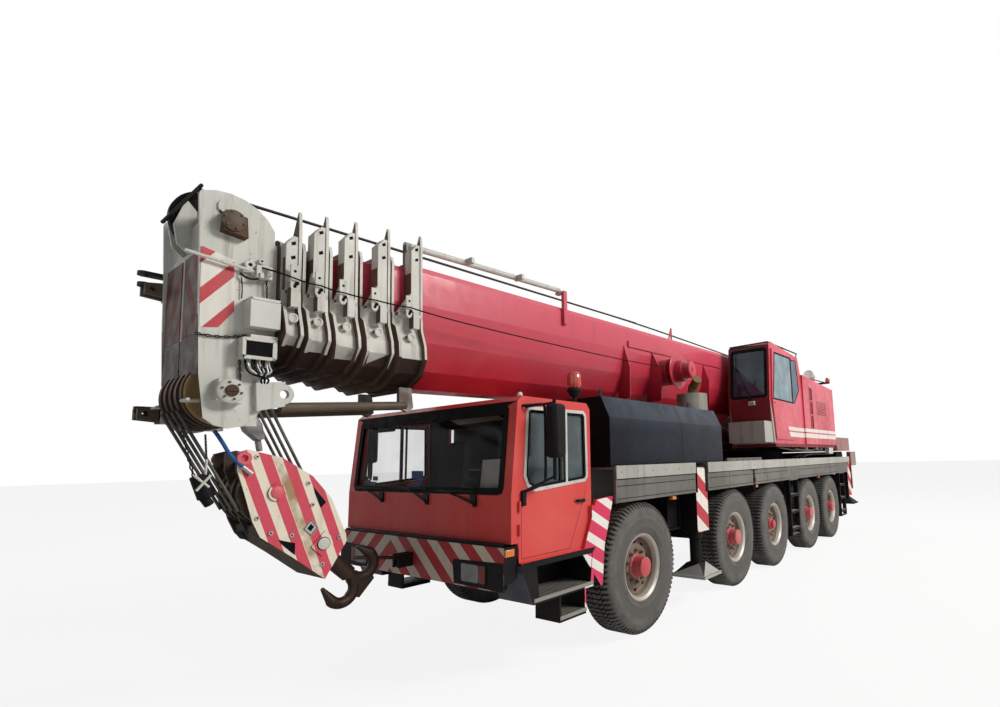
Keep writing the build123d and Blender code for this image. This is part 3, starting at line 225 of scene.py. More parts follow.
# striped boards: retro-reflective sheeting, a little scuffed
GROUND = Matrix()
side_board = weathered("striped_board_outrigger", "FFFFFF FFFFFF", 0.25, 0.35, dust=0.25,
    bands=stripes(GROUND, (-0.55, 0, 0.83), 0.12, 0.31, 0.5, "B8283C", "E9E4DC"))
mud_board = weathered("striped_board_mudguard", "FFFFFF FFFFFF", 0.12, 0.35, dust=0.2,
    bands=stripes(GROUND, (-0.46, 0, 0.888), -0.905, 0.2, 0.58, "DB3160", "F1EEE8"))
bumper_board = weathered("striped_board_bumper", "FFFFFF FFFFFF", 0.3, 0.4, dust=0.3,
    bands=stripes(Matrix.Translation((0, -0.335, 0)), (0, 0.648, 0.762), 0.945, 0.2065, 0.52, "A8202C",
    "CFC3B4", fold=True))
head_board = weathered("striped_board_head_side", "FFFFFF FFFFFF", 0.3, 0.4,
    bands=stripes(BOOM, (0.772, 0, 0.635), 9.411, 0.1825, 0.395, "C13A44", "E8E5DE"))
# the head front's chevrons in deep red and grey-brown: their colours are painted shade
front_board_painted_shade = weathered("striped_board_head_front_painted_shade", "FFFFFF FFFFFF 1E1510", 0.7, 0.5,
    bands=stripes(GROUND, (0, 0.85, 0.53), 0.1, 0.2, 0.5, "58110F", "5E554A", fold=True))
block_board = weathered("striped_hook_block_paint", "FFFFFF FFFFFF 6B4A35", 0.3, 0.42, chips=0.7,
    relief=0.25, bands=stripes(HANG, (0.96, 0, 0.28), -0.026, 0.1375, 0.54, "D84E62", "F1E9D6",
    stain=(-0.198, 0.03, "9A7440")))
window_trim = weathered("polished_window_trim", "C9C7C2 DAD8D4 6B665E", 0.2, 0.25, metal=0.5)
greasy = weathered("rope_grease_and_rust", "2A1E17 3A2A20 15100C", 0.6, 0.45, chips=0.5, metal=0.2,
    relief=0.3)
# forward faces of the collar flanges: brown stain and painted shade
edge_stain_and_shade = weathered("stained_and_shaded_collar_front", "4A382F 6C5446 241A14", 0.7, 0.5, chips=0.6, relief=0.25)
jib_grey = weathered("worn_jib_paint", "4D4236 66594A 2B231C", 0.6, 0.55)
sheave_face = weathered("worn_sheave_face", "A0875C C9B78E 5A3E24", 0.5, 0.45, chips=0.7, metal=0.3,
    relief=0.3)
pin_pink = weathered("faded_red_pin_paint", "D85A68 DF6E78 6B4A35", 0.25, 0.42, chips=0.6)
blue_hose = weathered("blue_sling_rope", "1F4F8E 2D63A6 16263E", 0.4, 0.5)
slate = weathered("slate_step_panel", "3E4453 4E5464 23262E", 0.3, 0.4, dust=0.3)
brass = weathered("heat_tanned_pipe", "6E5A3C 8C7650 332719", 0.5, 0.4, metal=0.7)
# old dark paint of the hook block's inside: worn to brown along the edges
block_steel = weathered("worn_dark_block_paint", "2A2119 4A3B29 15100B", 0.5, 0.5, chips=0.7, metal=0.2,
    relief=0.35)
# blackened chain and scorched sheet: dark, with a dull metal glint
chain_black = weathered("blackened_chain_steel", "171615 2A2826 3A2E24", 0.3, 0.4, chips=0.5, metal=0.6)
scorched = weathered("scorched_exhaust_sheet", "85817A A5A19A 3F3226", 0.7, 0.4, chips=0.5, metal=0.5)
fall_rope = weathered("galvanised_rope_fall", "4C4A46 6F6C66 201D19", 0.4, 0.4, chips=0.7, metal=0.5,
    relief=0.6)
paper = weathered("printed_sheet_paper", "A6A39F B4B1AC 8E8B86", 0.1, 0.8)
blue_card = weathered("blue_folder_card", "10408C 1B55AC 0B2A5C", 0.1, 0.6)
grey_card = weathered("grey_folder_card", "59626A 6C757D 3E454C", 0.1, 0.6)
visor_board = weathered("sun_visor_board", "65584C 7A6C5E 453B32", 0.1, 0.8)


def glazing(name, colour, see_through, faded):
    """Toughened glass, thin sheet: its tint, a faint dust film and a clear reflection."""
    made, tree, shader, place = start_finish(name)
    film = noise(tree, place, 3.0, 6.0)
    feed(tree, shader, {"Base Color": blend(tree, spread(tree, film, 0.4, 0.7), tone(colour), tone(faded)),
        "Alpha": spread(tree, film, 0.35, 0.75, see_through, min(see_through + 0.06, 1.0)),
        "Roughness": spread(tree, film, 0.35, 0.7, 0.03, 0.1), "IOR": 1.52})
    return made


def moulded_lens(name, colour, deep):
    """Acrylic lens with moulded ribs 12 mm apart."""
    made, tree, shader, place = start_finish(name)
    rib = add(tree, "ShaderNodeTexWave", {"Vector": place, "Scale": 13.0, "Distortion": 0.5})
    feed(tree, shader, {"Base Color": blend(tree, rib, tone(colour), tone(deep)),
        "Normal": add(tree, "ShaderNodeBump", {"Strength": 0.4, "Distance": 0.003, "Height": rib}),
        "Roughness": spread(tree, rib, 0, 1, 0.12, 0.25), "Coat Weight": 0.6})
    return made


def tyre_rubber():
    """Vulcanised rubber, greyed by dust: rings on the sidewall, and painted shade in the tread grooves."""
    made, tree, shader, place = start_finish("dusty_tyre_rubber_groove_shade")
    reach = add(tree, "ShaderNodeAttribute", attribute_name="reach", out="Fac")
    groove_shade = add(tree, "ShaderNodeAttribute", attribute_name="groove_shade", out="Fac")
    cloud = noise(tree, place, 5.0, 7.0, 0.6)
    base = blend(tree, spread(tree, cloud, 0.35, 0.65), tone("4E4D4B"), tone("6B6A67"))
    # the flexing band between bead and shoulder stays darker
    belt = maths(tree, "MULTIPLY", maths(tree, "COMPARE", reach, 0.46, 0.055),
        spread(tree, cloud, 0.4, 0.6, 0.25, 0.6))
    # near black in the grooves: painted shade
    base = blend(tree, groove_shade, blend(tree, belt, base, tone("4C4B49")), tone("171615"))
    ring_lines = maths(tree, "SINE", maths(tree, "MULTIPLY", reach, 520.0))
    rough = maths(tree, "MULTIPLY_ADD", ring_lines, 0.25, noise(tree, place, 60.0, 4.0))
    feed(tree, shader, {"Base Color": base, "Roughness": spread(tree, cloud, 0.3, 0.7, 0.72, 0.95),
        "Normal": add(tree, "ShaderNodeBump", {"Strength": 0.35, "Distance": 0.003, "Height": rough})})
    return made


cab_glass = glazing("clear_safety_glass", "0B0D10", 0.07, "20262C")
upper_glass = glazing("blue_green_tinted_glass", "16384F", 0.8, "41687F")
# the crane cab door's pale blue-grey, mostly opaque glass: a painted reflection
side_glass_painted_reflection = glazing("pale_side_glass_painted_reflection", "6D8894", 0.78, "8BA3AD")
door_glass = glazing("grey_door_glass", "4A575C", 0.72, "67757A")
lamp_glass = glazing("lamp_lens_glass", "8E9296", 0.8, "B9BCBE")
amber = moulded_lens("amber_acrylic", "EA8420", "C0640E")
signal_red = moulded_lens("orange_red_acrylic", "DE4A2C", "A82A18")
red_lens = moulded_lens("red_acrylic", "B01818", "7C0E0E")
rubber_with_groove_shade = tyre_rubber()


# ------------------------------------------------------------------ mesh helpers
def block(bm, x0, x1, y0, y1, z0, z1):
    """Six-faced block between two corners."""
    centre = Matrix.Translation(((x0 + x1) / 2, (y0 + y1) / 2, (z0 + z1) / 2))
    size = Matrix.Diagonal((abs(x1 - x0), abs(y1 - y0), abs(z1 - z0), 1))
    bmesh.ops.create_cube(bm, size=1.0, matrix=centre @ size)


def in_turn(*lists):
    """Each row of the lists with the row after it, round to the first."""
    rows = list(zip(*lists))
    return zip(rows, rows[1:] + rows[:1])


def plate(bm, outline, axis, low, high):
    """Flat outline carried along an axis: x takes (y, z) points, y takes (x, z), z takes (x, y)."""
    near, far = ([bm.verts.new({"x": (d, a, b), "y": (a, d, b), "z": (a, b, d)}[axis]) for a, b in outline]
        for d in (low, high))
    bm.faces.new(near)
    bm.faces.new(far[::-1])
    for (a, b), (c, d) in in_turn(near, far):
        bm.faces.new((a, b, d, c))


def bar(bm, p, q, r, sides=14, r_end=None):
    """Round or tapered bar from p to q."""
    a, b = Vector(p), Vector(q)
    place = Matrix.Translation((a + b) / 2) @ (b - a).to_track_quat("Z", "Y").to_matrix().to_4x4()
    bmesh.ops.create_cone(bm, cap_ends=True, segments=sides, radius1=r,
        radius2=r if r_end is None else r_end, depth=(b - a).length, matrix=place)


def lathe(bm, profile, centre, axis="y", steps=48):
    """Closed profile of (radius, along) turned about the y or the z axis through the centre."""
    rings = []
    for k in range(steps):
        c, s = math.cos(2 * math.pi * k / steps), math.sin(2 * math.pi * k / steps)
        rings.append([bm.verts.new(Vector(centre)
            + Vector((r * c, d, r * s) if axis == "y" else (r * c, r * s, d))) for r, d in profile])
    for (one,), (two,) in in_turn(rings):
        for ((r, _), a, b), ((next_r, _), c, d) in in_turn(profile, one, two):
            if r > TINY or next_r > TINY:
                bm.faces.new((a, c, d, b))


def widened(points, by):
    """An outline with every edge moved outwards."""
    turning = sum(a[0] * b[1] - b[0] * a[1] for a, b in zip(points, points[1:] + points[:1]))
    by = by if turning > 0 else -by
    result = []
    for k, p in enumerate(map(Vector, points)):
        one = (p - Vector(points[k - 1])).normalized()
        two = (Vector(points[(k + 1) % len(points)]) - p).normalized()
        out_one, out_two = Vector((one.y, -one.x)), Vector((two.y, -two.x))
        middle = (out_one + out_two).normalized()
        result.append(tuple(p + middle * by / max(middle.dot(out_one), 0.3)))
    return result


def border(bm, outline, wide, axis, low, high, inset=0.0):
    """Flat frame that follows an outline: wide outwards, and inset inwards."""
    for (a, b), (c, d) in in_turn(widened(outline, -inset), widened(outline, wide)):
        plate(bm, [a, b, d, c], axis, low, high)


def rounded(a0, a1, b0, b1, r, steps=4):
    """Rectangle with rounded corners."""
    corners = ((a1 - r, b1 - r, 0), (a0 + r, b1 - r, 90), (a0 + r, b0 + r, 180), (a1 - r, b0 + r, 270))
    turns = [(a, b, math.radians(start + 90 * k / steps)) for a, b, start in corners
        for k in range(steps + 1)]
    return [(a + r * math.cos(t), b + r * math.sin(t)) for a, b, t in turns]


def disc(bm, x, y, z, r, thick, sides=20):
    """Round plate that stands out sideways from a surface at y."""
    bar(bm, (x, y, z), (x, y + thick, z), r, sides)


def ring(bm, x, y, z, r_in, r_out, thick):
    lathe(bm, [(r_in, 0), (r_out, 0), (r_out, thick), (r_in, thick)], (x, y, z), "y", 28)


def as_mesh(bm, name, smooth=None):
    """Ends a bmesh as a mesh, with soft edges up to an angle in degrees."""
    mesh = bpy.data.meshes.new(name)
    bm.to_mesh(mesh)
    bm.free()
    if smooth:
        mesh.polygons.foreach_set("use_smooth", [True] * len(mesh.polygons))
        mesh.set_sharp_from_angle(angle=math.radians(smooth))
    return mesh


def show(name, data, body=None, finish=None):
    """Puts an object in the scene; a piece of the crane also gets its finish and body."""
    made = bpy.data.objects.new(name, data)
    bpy.context.scene.collection.objects.link(made)
    if body:
        data.materials.append(finish)
        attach(made, body)
    return made


def piece(bm, body, name, finish, slot=None, place=None, bevel=0.0, fix=True, side=1):
    """Ends a piece: mirrors it for the right side, places it and points its faces outwards."""
    if side < 0:
        bm.transform(Matrix.Diagonal((1, -1, 1, 1)))
    if place is not None:
        bm.transform(place)
    bmesh.ops.remove_doubles(bm, verts=bm.verts, dist=TINY)
    if fix:
        bmesh.ops.recalc_face_normals(bm, faces=bm.faces)
    made = show(name, as_mesh(bm, name, 35), body, finish)
    if bevel:
        soft = made.modifiers.new("rounded_edges", "BEVEL")
        soft.width = bevel
        soft.segments = 2
        soft.limit_method = "ANGLE"


def fitting(body, name, finish, *shapes, **settings):
    """One piece from a list of shapes, each a mesh helper with what it takes."""
    bm = bmesh.new()
    for shape, *values in shapes:
        shape(bm, *values)
    piece(bm, body, name, finish, **settings)


def pair(body, name, finish, *shapes, **settings):
    """A piece of the left side and its mirror image; a body's {} takes the side."""
    for side, s in SIDES:
        fitting(body.format(side), name + "_" + side, finish, *shapes, side=s, **settings)


def pipe(body, name, finish, r, points, slot=None, place=Matrix()):
    """Bent round pipe, hose or cable that is fixed to the crane."""
    line = bpy.data.curves.new(name, "CURVE")
    line.dimensions = "3D"
    line.bevel_depth = r
    line.bevel_resolution = 4
    line.use_fill_caps = True
    run = line.splines.new("NURBS")
    run.points.add(len(points) - 1)
    for spot, p in zip(run.points, points):
        spot.co = (*(place @ Vector(p)), 1)
    run.order_u = 3
    run.use_endpoint_u = True
    show(name, line, body, finish)


def row_tree(name):
    """Geometry Nodes: copies of a unit along a sagging line, each turned by Twist more than the last."""
    tree = bpy.data.node_groups.new(name, "GeometryNodeTree")

    def socket(label, kind, way="INPUT"):
        return tree.interface.new_socket(label, in_out=way, socket_type="NodeSocket" + kind).identifier
    socket("Geometry", "Geometry")
    keys = {label: socket(label, kind) for label, kind in (("Count", "Int"), ("Start", "Vector"),
        ("End", "Vector"), ("Turn", "Vector"), ("Twist", "Vector"), ("Sag", "Float"))}
    socket("Geometry", "Geometry", "OUTPUT")
    given = tree.nodes.new("NodeGroupInput").outputs
    number = add(tree, "GeometryNodeInputIndex")
    share = maths(tree, "DIVIDE", number, maths(tree, "SUBTRACT", given["Count"], 1.0))
    spot = add(tree, "ShaderNodeMix", {0: share, 4: given["Start"], 5: given["End"]}, 1, data_type="VECTOR")
    dip = maths(tree, "MULTIPLY", share, maths(tree, "SUBTRACT", 1.0, share))
    dip = maths(tree, "MULTIPLY", maths(tree, "MULTIPLY", dip, -4.0), given["Sag"])
    spot = vectors(tree, "ADD", spot, add(tree, "ShaderNodeCombineXYZ", {"Z": dip}))
    lean = vectors(tree, "ADD", given["Turn"], vectors(tree, "MULTIPLY", given["Twist"], number))
    spots = add(tree, "GeometryNodePoints", {"Count": given["Count"], "Position": spot})
    copies = add(tree, "GeometryNodeInstanceOnPoints",
        {"Points": spots, "Instance": given["Geometry"], "Rotation": lean})
    joined = add(tree, "GeometryNodeRealizeInstances", {0: copies})
    feed(tree, tree.nodes.new("NodeGroupOutput"), {"Geometry": joined})
    return tree, keys


ROW, ROW_KEYS = row_tree("row_of_units")
STILL = (0.0, 0.0, 0.0)


def grown(bm, name, count, start=STILL, end=STILL, turn=STILL, twist=STILL, sag=0.0):
    """Copies of the unit in bm along a line, as a plain mesh."""
    holder = show(name, as_mesh(bm, name))
    made = holder.modifiers.new("row", "NODES")
    made.node_group = ROW
    for label, value in dict(Count=count, Start=start, End=end, Turn=turn, Twist=twist, Sag=sag).items():
        made[ROW_KEYS[label]] = value
    result = bpy.data.meshes.new_from_object(holder.evaluated_get(bpy.context.evaluated_depsgraph_get()))
    bpy.data.objects.remove(holder)
    return result


def grown_round(bm, name, count):
    """The unit in bm repeated about the Y axis."""
    return grown(bm, name, count, twist=(0.0, 2 * math.pi / count, 0.0))


def row(body, name, finish, unit, count, start, end, turn=STILL, twist=0.0, sag=0.0, place=None):
    """Copies of the unit set along a line, as one piece."""
    bm = bmesh.new()
    bm.from_mesh(grown(unit, name, count, start, end, turn, (twist, 0.0, 0.0), sag))
    piece(bm, body, name, finish, place=place, fix=False)


def link_unit(long, wide, wire):
    """One oval link of round wire, lying along X."""
    bm = bmesh.new()
    turns, sides = 14, 6
    half, r = (long - wide) / 2, wide / 2 - wire
    rings = []
    for k in range(turns):
        a = 2 * math.pi * k / turns
        out = Vector((math.cos(a), 0, math.sin(a)))
        middle = Vector((half if out.x > 1e-3 else -half if out.x < -1e-3 else 0, 0, 0)) + out * r
        rings.append([bm.verts.new(middle + wire * (math.cos(b) * out + Vector((0, math.sin(b), 0))))
            for b in (2 * math.pi * j / sides for j in range(sides))])
    for (one,), (two,) in in_turn(rings):
        for (a, b), (c, d) in in_turn(one, two):
            bm.faces.new((a, b, d, c))
    bmesh.ops.recalc_face_normals(bm, faces=bm.faces)
    return bm


def chain(body, name, link, start, end, sag=0.0, place=None):
    """Short-link chain: every link a quarter turn from the last."""
    length = Vector(end) - Vector(start)
    along = length.normalized()
    row(body, name, chain_black, link_unit(link, link * LINK_WIDE, link * LINK_WIRE),
        max(3, round(length.length / (link * LINK_PITCH))), start, end,
        (0.0, -math.asin(along.z), math.atan2(along.y, along.x)), math.pi / 2, sag, place)


def leaning(slope, foot):
    """Tips flat shapes back with a screen, from the height of its foot."""
    return Matrix(((1, 0, slope, -slope * foot), (0, 1, 0, 0), (0, 0, 1, 0), (0, 0, 0, 1)))


on_carrier, on_carrier_sides = partial(fitting, CARRIER), partial(pair, CARRIER)
on_doors = partial(pair, "door_{}")
on_upper = partial(fitting, UPPER)
on_base = partial(fitting, "boom_base", place=BOOM)
on_tip, on_tip_sides = partial(fitting, TIP, place=BOOM), partial(pair, TIP, place=BOOM)
on_block, on_block_sides = partial(fitting, BLOCK_BODY, place=HANG), partial(pair, BLOCK_BODY, place=HANG)
tip_pipe, base_pipe = partial(pipe, TIP, place=BOOM), partial(pipe, "boom_base", place=BOOM)


# ------------------------------------------------------------------ dress of the CAD nodes
def dress(node, finish, *zones, within=Matrix()):
    """Gives a CAD node its finish, and each zone's to the faces its test picks by middle and normal."""
    mesh = nodes[node].data
    mesh.materials.clear()
    for paint in (finish, *[zone[0] for zone in zones]):
        mesh.materials.append(paint)
    turn = within.to_3x3()
    mesh.polygons.foreach_set("material_index",
        [max((k for k, (_, test) in enumerate(zones, start=1)
        if test(within @ face.center, turn @ face.normal)), default=0) for face in mesh.polygons])
    mesh.update()


dress("carrier_frame", chassis, (dark_red_paint_and_shade, lambda p, n: p.x < -6.77 and abs(p.y) > 1.26 and p.z > 0.9),
    (tan_plate, lambda p, n: p.x < -6.865 and abs(p.y) > 1.33))
dress("deck", deck_grey, (strip_grey, lambda p, n: abs(p.y) > 1.369 and p.z > 1.635),
    (ladder_grey, lambda p, n: p.z < 1.394), (chassis, lambda p, n: p.z < 1.394 and abs(n.z) < 0.5))
dress("exhaust_stack", scorched, (brass, lambda p, n: p.z > 2.771))
dress("carrier_cab", cab_red, (black_plastic, lambda p, n: p.z < 1.0),
    # black on the upper step's top, under its slats: painted shade
    (black_rubber_and_shade, lambda p, n: 4.21 < p.x < 4.9 and 0.6 < p.z < 0.72 and n.z > 0.9),
    (mud_board, lambda p, n: 3.79 < p.x < 4.31 and 1.339 < abs(p.y) and p.z < 1.48 and abs(n.y) > 0.9),
    (trim, lambda p, n: 4.155 < p.x < 5.145 and abs(p.y) < 1.2605 and 1.035 < p.z < 2.365),
    (slate, lambda p, n: p.x > 4.93 and p.z < 0.995 and n.x > 0.3),
    (black_plastic, lambda p, n: p.z > 2.41), (signal_red, lambda p, n: p.z > 2.575 and p.x < 4.5))
dress("cab_interior", trim, (seat_cloth, lambda p, n: p.x < 4.79))
dress("front_bumper", black_plastic, (bumper_board, lambda p, n: n.x > 0.9 and p.x > 5.249 and p.z > 0.79),
    (lamp_glass, lambda p, n: n.x > 0.9 and 5.2 < p.x < 5.245),
    (chassis, lambda p, n: abs(p.y) < 0.07 and p.x > 5.26))
for side, _ in SIDES:
    dress("door_" + side, cab_red, (black_plastic,
        lambda p, n: abs(p.y) > 1.305 and (p.x < 5.0 or p.z > 1.6) or 4.54 < p.x < 4.58 and p.z > 1.6))
    for number in "1245":
        dress("knuckle_" + number + "_" + side, chassis)
    for end in ("front_", "rear_"):
        dress("outrigger_beam_" + end + side, chassis,
            (side_board, lambda p, n: abs(n.y) > 0.9 and abs(p.y) > 1.36))
        dress("outrigger_jack_" + end + side, jack_grey, (chassis, lambda p, n: p.z > 0.45))
dress("slewing_platform", dark_red_paint_and_shade, (chassis, lambda p, n: p.z < 2.01 and abs(p.y) < 1.0),
    (chassis, lambda p, n: n.z < -0.9), (cream, lambda p, n: p.x < -4.7 and abs(p.y) > 1.2 and p.z < 2.005))
# the crane cab's forward faces in dark red: painted shade
dress("crane_cab", upper_red, (strip_grey, lambda p, n: p.x > -1.2 and p.z < 2.48),
    (trim, lambda p, n: -2.925 < p.x < -1.04 and 0.595 < p.y < 1.3005 and 2.11 < p.z < 3.9
    and not (p.y > 1.25 and n.y > 0.9)), (dark_red_paint_and_shade, lambda p, n: n.x > 0.9 and p.x > -1.2 and p.z > 2.46))
# the dark red in the recess behind the housing's rungs: painted shade
dress("machine_housing", upper_red, (dark_red_paint_and_shade,
    lambda p, n: -3.6 < p.x < -3.36 and p.z < 3.27 and 1.35 < p.y < 1.365),
    (zinc, lambda p, n: p.z > 3.5 and p.x > -4.3),
    (lamp_glass, lambda p, n: p.z > 3.5 and p.x > -4.3 and n.x > 0.8),
    (black_plastic, lambda p, n: p.z > 3.45 and p.x < -5.2),
    (amber, lambda p, n: p.z > 3.59 and p.x < -5.2 and abs(p.y - 0.93) < 0.07))
dress("hook_block", block_steel, (block_board, lambda p, n: abs(n.y) > 0.9 and abs(p.y) > 0.239))
for node, finish in {"axle_beams": chassis, "drive_train": chassis, "engine_hood": hood_paint_and_sheen,
        "cab_windows": cab_glass, "door_glass_left": door_glass, "door_glass_right": cab_glass,
        "crane_cab_glass": upper_glass, "crane_cab_door": upper_red, "crane_cab_door_glass": side_glass_painted_reflection,
        "counterweight": ballast, "winch_drum": rusty, "luff_cylinder_barrel": dark_red_paint_and_shade,
        "luff_cylinder_rod": zinc, "hoist_ropes": fall_rope, "hook": hook_steel}.items():
    dress(node, finish)


def collar_zones(start, width):
    """A collar's enamel, the forward faces of its flanges in brown that is stain and painted shade, and its
    greasy underside.
    """
    def inside(q):
        return start - 0.002 < q.x < start + width + 0.002
    return ((cream_low, lambda q, n: inside(q)), (edge_stain_and_shade, lambda q, n: inside(q) and n.x > 0.9),
        (greasy, lambda q, n: inside(q) and n.z < -0.35 and q.z < -0.18))


# from here the tests take a spot in the boom's own frame: along, across and above its axis
in_boom = BOOM.inverted()
stowage = ((cream, lambda q, n: 8.4 < q.x < 10.61 and q.z > 0.9),
    (jib_grey, lambda q, n: q.x > 10.4 and q.z < -0.42),
    (cream_low, lambda q, n: 10.49 < q.x < 10.645 and -0.605 < q.z < -0.36 and abs(n.y) > 0.9
    and abs(q.y) < 0.352))
for name, collar in zip(SECTION_BODIES, COLLARS):
    dress(name, boom_red_and_shade, *collar_zones(*collar), *(stowage if name == "boom_base" else ()), within=in_boom)
dress("boom_tip_section", boom_red_and_shade, (cream, lambda q, n: q.x > 11.66 or q.x > 11.5 and q.z < -0.4),
    (greasy, lambda q, n: q.x > 12.08 and abs(q.y) < 0.398 and q.z < -0.13),
    (jib_grey, lambda q, n: q.y < -0.405 and q.x > 12.1),
    (rusty, lambda q, n: q.y > 0.4005 and 11.88 < q.x < 12.05 and 0.56 < q.z < 0.75), within=in_boom)
dress("head_sheaves", rusty, (chassis, lambda q, n: q.z > 0.4), within=in_boom)

# ------------------------------------------------------------------ camera, light, floor
AIM_X, AIM_Y, AIM_ROLL = math.radians(-143.354), 0.131, -0.024
forward = Vector((math.cos(AIM_Y) * math.cos(AIM_X), math.cos(AIM_Y) * math.sin(AIM_X), math.sin(AIM_Y)))
level = forward.cross(Vector((0, 0, 1))).normalized()
upward = level.cross(forward)
right = math.cos(AIM_ROLL) * level + math.sin(AIM_ROLL) * upward
over = -math.sin(AIM_ROLL) * level + math.cos(AIM_ROLL) * upward
camera = show("camera", bpy.data.cameras.new("camera"))
turn = Matrix((right, over, -forward)).transposed()
camera.matrix_world = Matrix.Translation((8.261, 4.582, 1.837)) @ turn.to_4x4()
camera.data.sensor_width = 36
camera.data.lens = 19.022
camera.data.shift_x = -0.105
camera.data.shift_y = 0.0368
camera.data.clip_start = 0.05
camera.data.clip_end = 400
bpy.context.scene.camera = camera


def soft_light(name, spot, aim, size, power, colour):
    lamp = bpy.data.lights.new(name, "AREA")
    lamp.shape = "RECTANGLE"
    lamp.size, lamp.size_y = size
    lamp.energy = power
    lamp.color = tone(colour)[:3]
    made = show(name, lamp)
    made.location = spot
    made.rotation_mode = "QUATERNION"
    made.rotation_quaternion = (Vector(aim) - Vector(spot)).to_track_quat("-Z", "Y")


soft_light("key_light", (-4, 17, 13), (0, 0, 1.5), (8, 5), 3500, "FFFAF4")
soft_light("front_fill", (17, 2, 8), (3, 0, 1.5), (8, 5), 15, "F2F6FF")
soft_light("back_fill", (-12, -14, 10), (-1, 0, 1.5), (9, 6), 800, "F4F7FF")

bpy.context.scene.view_settings.view_transform = "Standard"
# white to the eye and in reflections, faint as a light
world = bpy.data.worlds.new("studio")
bpy.context.scene.world = world
world.use_nodes = True
sky = world.node_tree
rays = sky.nodes.new("ShaderNodeLightPath").outputs
seen = maths(sky, "MAXIMUM", rays["Is Camera Ray"], rays["Is Glossy Ray"])
seen = maths(sky, "MAXIMUM", seen, rays["Is Transmission Ray"])
feed(sky, sky.nodes["Background"], {"Strength": spread(sky, seen, 0, 1, 0.13, 1.0), "Color": (1, 1, 1, 1)})

floor_bm = bmesh.new()
bmesh.ops.create_grid(floor_bm, x_segments=1, y_segments=1, size=120)
floor = show("floor", as_mesh(floor_bm, "floor"))
# matt white vinyl sheet: an even pale ground that keeps the crane's shadow
floor_finish, tree, shader, place = start_finish("white_vinyl_floor")
feed(tree, shader, {"Roughness": 0.9, "Base Color": blend(tree, noise(tree, place, 0.3), tone("F6F6F5"),
    tone("FAFAF9"))})
# the sheet is lit evenly from below, so the eye sees it white, with the shadow kept softly
seen_floor = tree.nodes.new("ShaderNodeLightPath").outputs["Is Camera Ray"]
lit = add(tree, "ShaderNodeEmission", {"Color": tone("FFFFFF"), "Strength": 1.0})
evened = add(tree, "ShaderNodeMixShader", {0: spread(tree, seen_floor, 0, 1, 0.0, 0.88),
    1: shader.outputs[0], 2: lit})
feed(tree, tree.nodes["Material Output"], {"Surface": evened})
floor.data.materials.append(floor_finish)

# ------------------------------------------------------------------ wheels
# half sections as (radius, along the axle) from the wheel's middle
TYRE_SIDE = [(0.3195, 0.134), (0.33, 0.142), (0.358, 0.164), (0.366, 0.171), (0.376, 0.169), (0.384, 0.176),
    (0.41, 0.181), (0.415, 0.1835), (0.421, 0.1815), (0.47, 0.186), (0.535, 0.1872), (0.56, 0.184),
    (0.566, 0.186), (0.585, 0.182), (0.622, 0.172), (0.645, 0.162), (0.66, 0.146), (0.669, 0.125)]
RIM_LINE = [(0.3555, 0.1545), (0.353, 0.157), (0.342, 0.157), (0.335, 0.15), (0.319, 0.144), (0.31, 0.13),
    (0.302, 0.09), (0.288, 0.05), (0.26, 0.042), (0.228, 0.056), (0.206, 0.064), (0.13, 0.064),
    (0.13, 0.04), (0.25, 0.02), (0.285, 0.03), (0.315, 0.08), (0.318, 0.13), (0.34, 0.14), (0.355, 0.148)]
INNER_RIM = [(0.318, 0.0), (0.318, -0.132), (0.348, -0.142), (0.348, -0.152), (0.33, -0.15), (0.295, -0.13),
    (0.29, 0.0), (0.29, 0.04), (0.31, 0.06)]
FAR_DISC = [(0.068, -0.05), (0.235, -0.05), (0.285, 0.03), (0.13, 0.04), (0.068, 0.035)]
DRIVEN_CAP = [(0.0, 0.202), (0.094, 0.202), (0.103, 0.195), (0.1045, 0.085), (0.124, 0.08), (0.129, 0.074),
    (0.129, 0.05), (0.0, 0.05)]
TRAILING_CAP = [(0.0, 0.157), (0.05, 0.157), (0.066, 0.15), (0.07, 0.105), (0.092, 0.098), (0.0945, 0.05),
    (0.0, 0.05)]
LUG_FOOT, LUG_TOP = 0.664, 0.6845
# where the grooves and the browner part of the rim's disc lie, both with painted shade: radius from and to,
# and reach along the axle
GROOVE_FROM, GROOVE_TO, GROOVE_REACH = 0.6555, 0.6745, 0.165
DISC_FROM, DISC_TO, DISC_REACH = 0.13, 0.303, 0.025


def tread_unit():
    """One pitch of tread: two shoulder lugs, two middle lugs and the centre lug."""
    bm = bmesh.new()
    for side in (1, -1):
        for y0, y1, skew in ((0.088, 0.128, 0.008), (0.034, 0.08, 0.012)):
            plate(bm, [(-0.015 + skew, 0), (0.015 + skew, 0), (0.015 - skew, 1), (-0.015 - skew, 1)], "z",
                0, 1)
            for v in bm.verts[-8:]:
                v.co = Vector((v.co.x, side * (y0 + (y1 - y0) * v.co.y),
                    LUG_FOOT if v.co.z < 0.5 else LUG_TOP))
        # shoulder lug that wraps down the sidewall
        line = [(0.11, 0.664), (0.128, 0.6845), (0.146, 0.676), (0.168, 0.655), (0.179, 0.634),
            (0.17, 0.628), (0.15, 0.645), (0.13, 0.655)]
        plate(bm, [(side * a, b) for a, b in line], "x", -0.011, 0.012)
    plate(bm, [(-0.022, -0.026), (0.014, -0.026), (0.022, 0.026), (-0.014, 0.026)], "z", LUG_FOOT, LUG_TOP)
    bmesh.ops.recalc_face_normals(bm, faces=bm.faces)
    return bm


def nut_unit(radius, foot, outer, size):
    """A wheel nut with its flange and stud end, at a radius from the axle."""
    bm = bmesh.new()
    for share, r, sides in ((0.25, size * 1.35, 12), (0.75, size, 6), (1.0, size * 0.55, 8)):
        bar(bm, (0, foot, radius), (0, foot + outer * share, radius), r, sides)
    return bm


